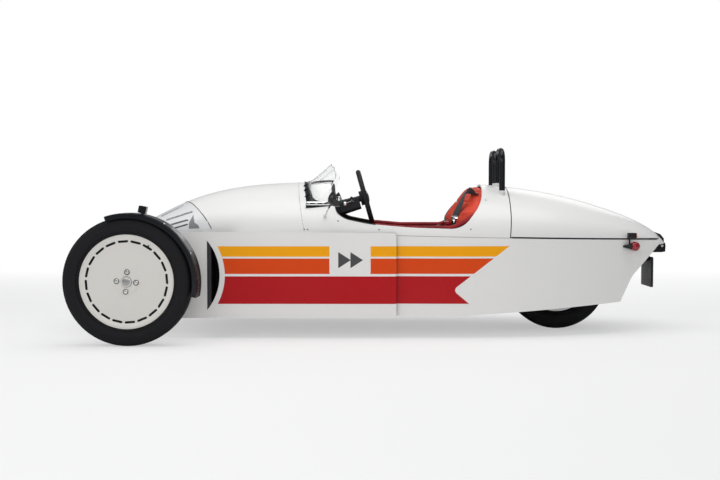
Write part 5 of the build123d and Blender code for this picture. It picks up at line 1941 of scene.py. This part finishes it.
class CAR_OT_stage(CarPiece):
    """Floor, lamps and camera."""

    bl_idname = "car.stage"
    bl_label = "Stage"

    def build(self):
        self.make_floor()
        self.make_sky()
        self.make_lamps()
        self.make_camera()

    def make_floor(self):
        """A matt floor that turns to plain white towards the back."""
        bm = bmesh.new()
        bmesh.ops.create_grid(bm, x_segments=1, y_segments=1, size=FLOOR_SIZE)
        floor = new_object("floor", bm)
        made = Finish("floor_white", Base_Color=FLOOR_WHITE, Roughness=0.9)
        nodes, link = made.tree.nodes, made.tree.links.new
        path = nodes.new("ShaderNodeLightPath")
        seen = Wire(made, path.outputs["Is Camera Ray"])
        mixer = nodes.new("ShaderNodeMixShader")
        bright = nodes.new("ShaderNodeEmission")
        bright.inputs["Color"].default_value = (1, 1, 1, 1)
        bright.inputs["Strength"].default_value = 1.0
        through = Wire(made, path.outputs["Is Transmission Ray"])
        away = made.remap(made.place()[1], 0.8, 5.0, 0.45, 1.0)
        made.feed(mixer.inputs[0], seen.high(through) * away)
        link(made.shader.outputs[0], mixer.inputs[1])
        link(bright.outputs[0], mixer.inputs[2])
        link(mixer.outputs[0], made.output.inputs["Surface"])
        floor.data.materials.append(made.material)

    def make_sky(self):
        """A pale room, darker in reflections."""
        world = bpy.data.worlds.new("studio")
        bpy.context.scene.world = world
        world.use_nodes = True
        nodes, link = world.node_tree.nodes, world.node_tree.links.new
        nodes.clear()
        rays = nodes.new("ShaderNodeLightPath")
        out = nodes.new("ShaderNodeOutputWorld")
        shown = None
        for ray, colour, strength in SKIES:
            sky = nodes.new("ShaderNodeBackground")
            sky.inputs["Color"].default_value = colour
            sky.inputs["Strength"].default_value = strength
            result = sky.outputs[0]
            if ray:
                blend = nodes.new("ShaderNodeMixShader")
                link(rays.outputs[ray], blend.inputs[0])
                link(shown, blend.inputs[1])
                link(result, blend.inputs[2])
                result = blend.outputs[0]
            shown = result
        link(shown, out.inputs["Surface"])

    def make_lamps(self):
        """Soft lamps above, at the side, in front and behind."""
        for name, place, target, size, power in STUDIO_LAMPS:
            lamp = bpy.data.lights.new(name, "AREA")
            lamp.shape = "RECTANGLE"
            lamp.size, lamp.size_y = size
            lamp.energy = power
            holder = bpy.data.objects.new(name, lamp)
            holder.location = place
            aim = Vector(target) - Vector(place)
            holder.rotation_euler = aim.to_track_quat("-Z", "Y").to_euler()
            bpy.context.scene.collection.objects.link(holder)

    def make_camera(self):
        """A long lens at the car's left side."""
        scene = bpy.context.scene
        lens = bpy.data.cameras.new("camera")
        lens.sensor_fit = "HORIZONTAL"
        lens.sensor_width = SENSOR_WIDTH
        lens.lens = FOCAL_LENGTH
        lens.clip_end = FAR_END
        camera = bpy.data.objects.new("camera", lens)
        camera.location = CAMERA_PLACE
        camera.rotation_euler = (math.radians(90.0 - CAMERA_DOWN), 0.0, math.radians(CAMERA_ASIDE))
        scene.collection.objects.link(camera)
        scene.camera = camera
        scene.view_settings.view_transform = "Standard"


OPERATORS = (
    CAR_OT_finishes,
    CAR_OT_tyres,
    CAR_OT_wheel_fittings,
    CAR_OT_seats,
    CAR_OT_rolls,
    CAR_OT_seams,
    CAR_OT_cockpit_trim,
    CAR_OT_screws,
    CAR_OT_steering_wheel,
    CAR_OT_dials,
    CAR_OT_belts,
    CAR_OT_headlamps,
    CAR_OT_mirror_glass,
    CAR_OT_screen_fittings,
    CAR_OT_tail_fittings,
    CAR_OT_dampers,
    CAR_OT_suspension_bolts,
    CAR_OT_guard_bolts,
    CAR_OT_nose_ribs,
    CAR_OT_stage,
)


class CAR_PT_panel(bpy.types.Panel):
    """Lists the car's pieces in the sidebar."""

    bl_label = "Three-wheeled car"
    bl_idname = "CAR_PT_panel"
    bl_space_type = "VIEW_3D"
    bl_region_type = "UI"
    bl_category = "Car"

    def draw(self, context):
        layout = self.layout
        for settings in (context.scene.car_finish, context.scene.car_sizes):
            for name in settings.__annotations__:
                layout.prop(settings, name)
        for operator in OPERATORS:
            layout.operator(operator.bl_idname)


CLASSES = (CarFinishSettings, CarSizeSettings) + OPERATORS + (CAR_PT_panel,)


def register():
    for cls in CLASSES:
        bpy.utils.register_class(cls)
    bpy.types.Scene.car_finish = bpy.props.PointerProperty(type=CarFinishSettings)
    bpy.types.Scene.car_sizes = bpy.props.PointerProperty(type=CarSizeSettings)


def unregister():
    del bpy.types.Scene.car_sizes
    del bpy.types.Scene.car_finish
    for cls in reversed(CLASSES):
        bpy.utils.unregister_class(cls)


def main():
    register()
    for operator in OPERATORS:
        group, name = operator.bl_idname.split(".")
        result = getattr(getattr(bpy.ops, group), name)()
        if "FINISHED" not in result:
            raise RuntimeError(f"{operator.bl_label} did not finish")


if __name__ == "__main__":
    main()
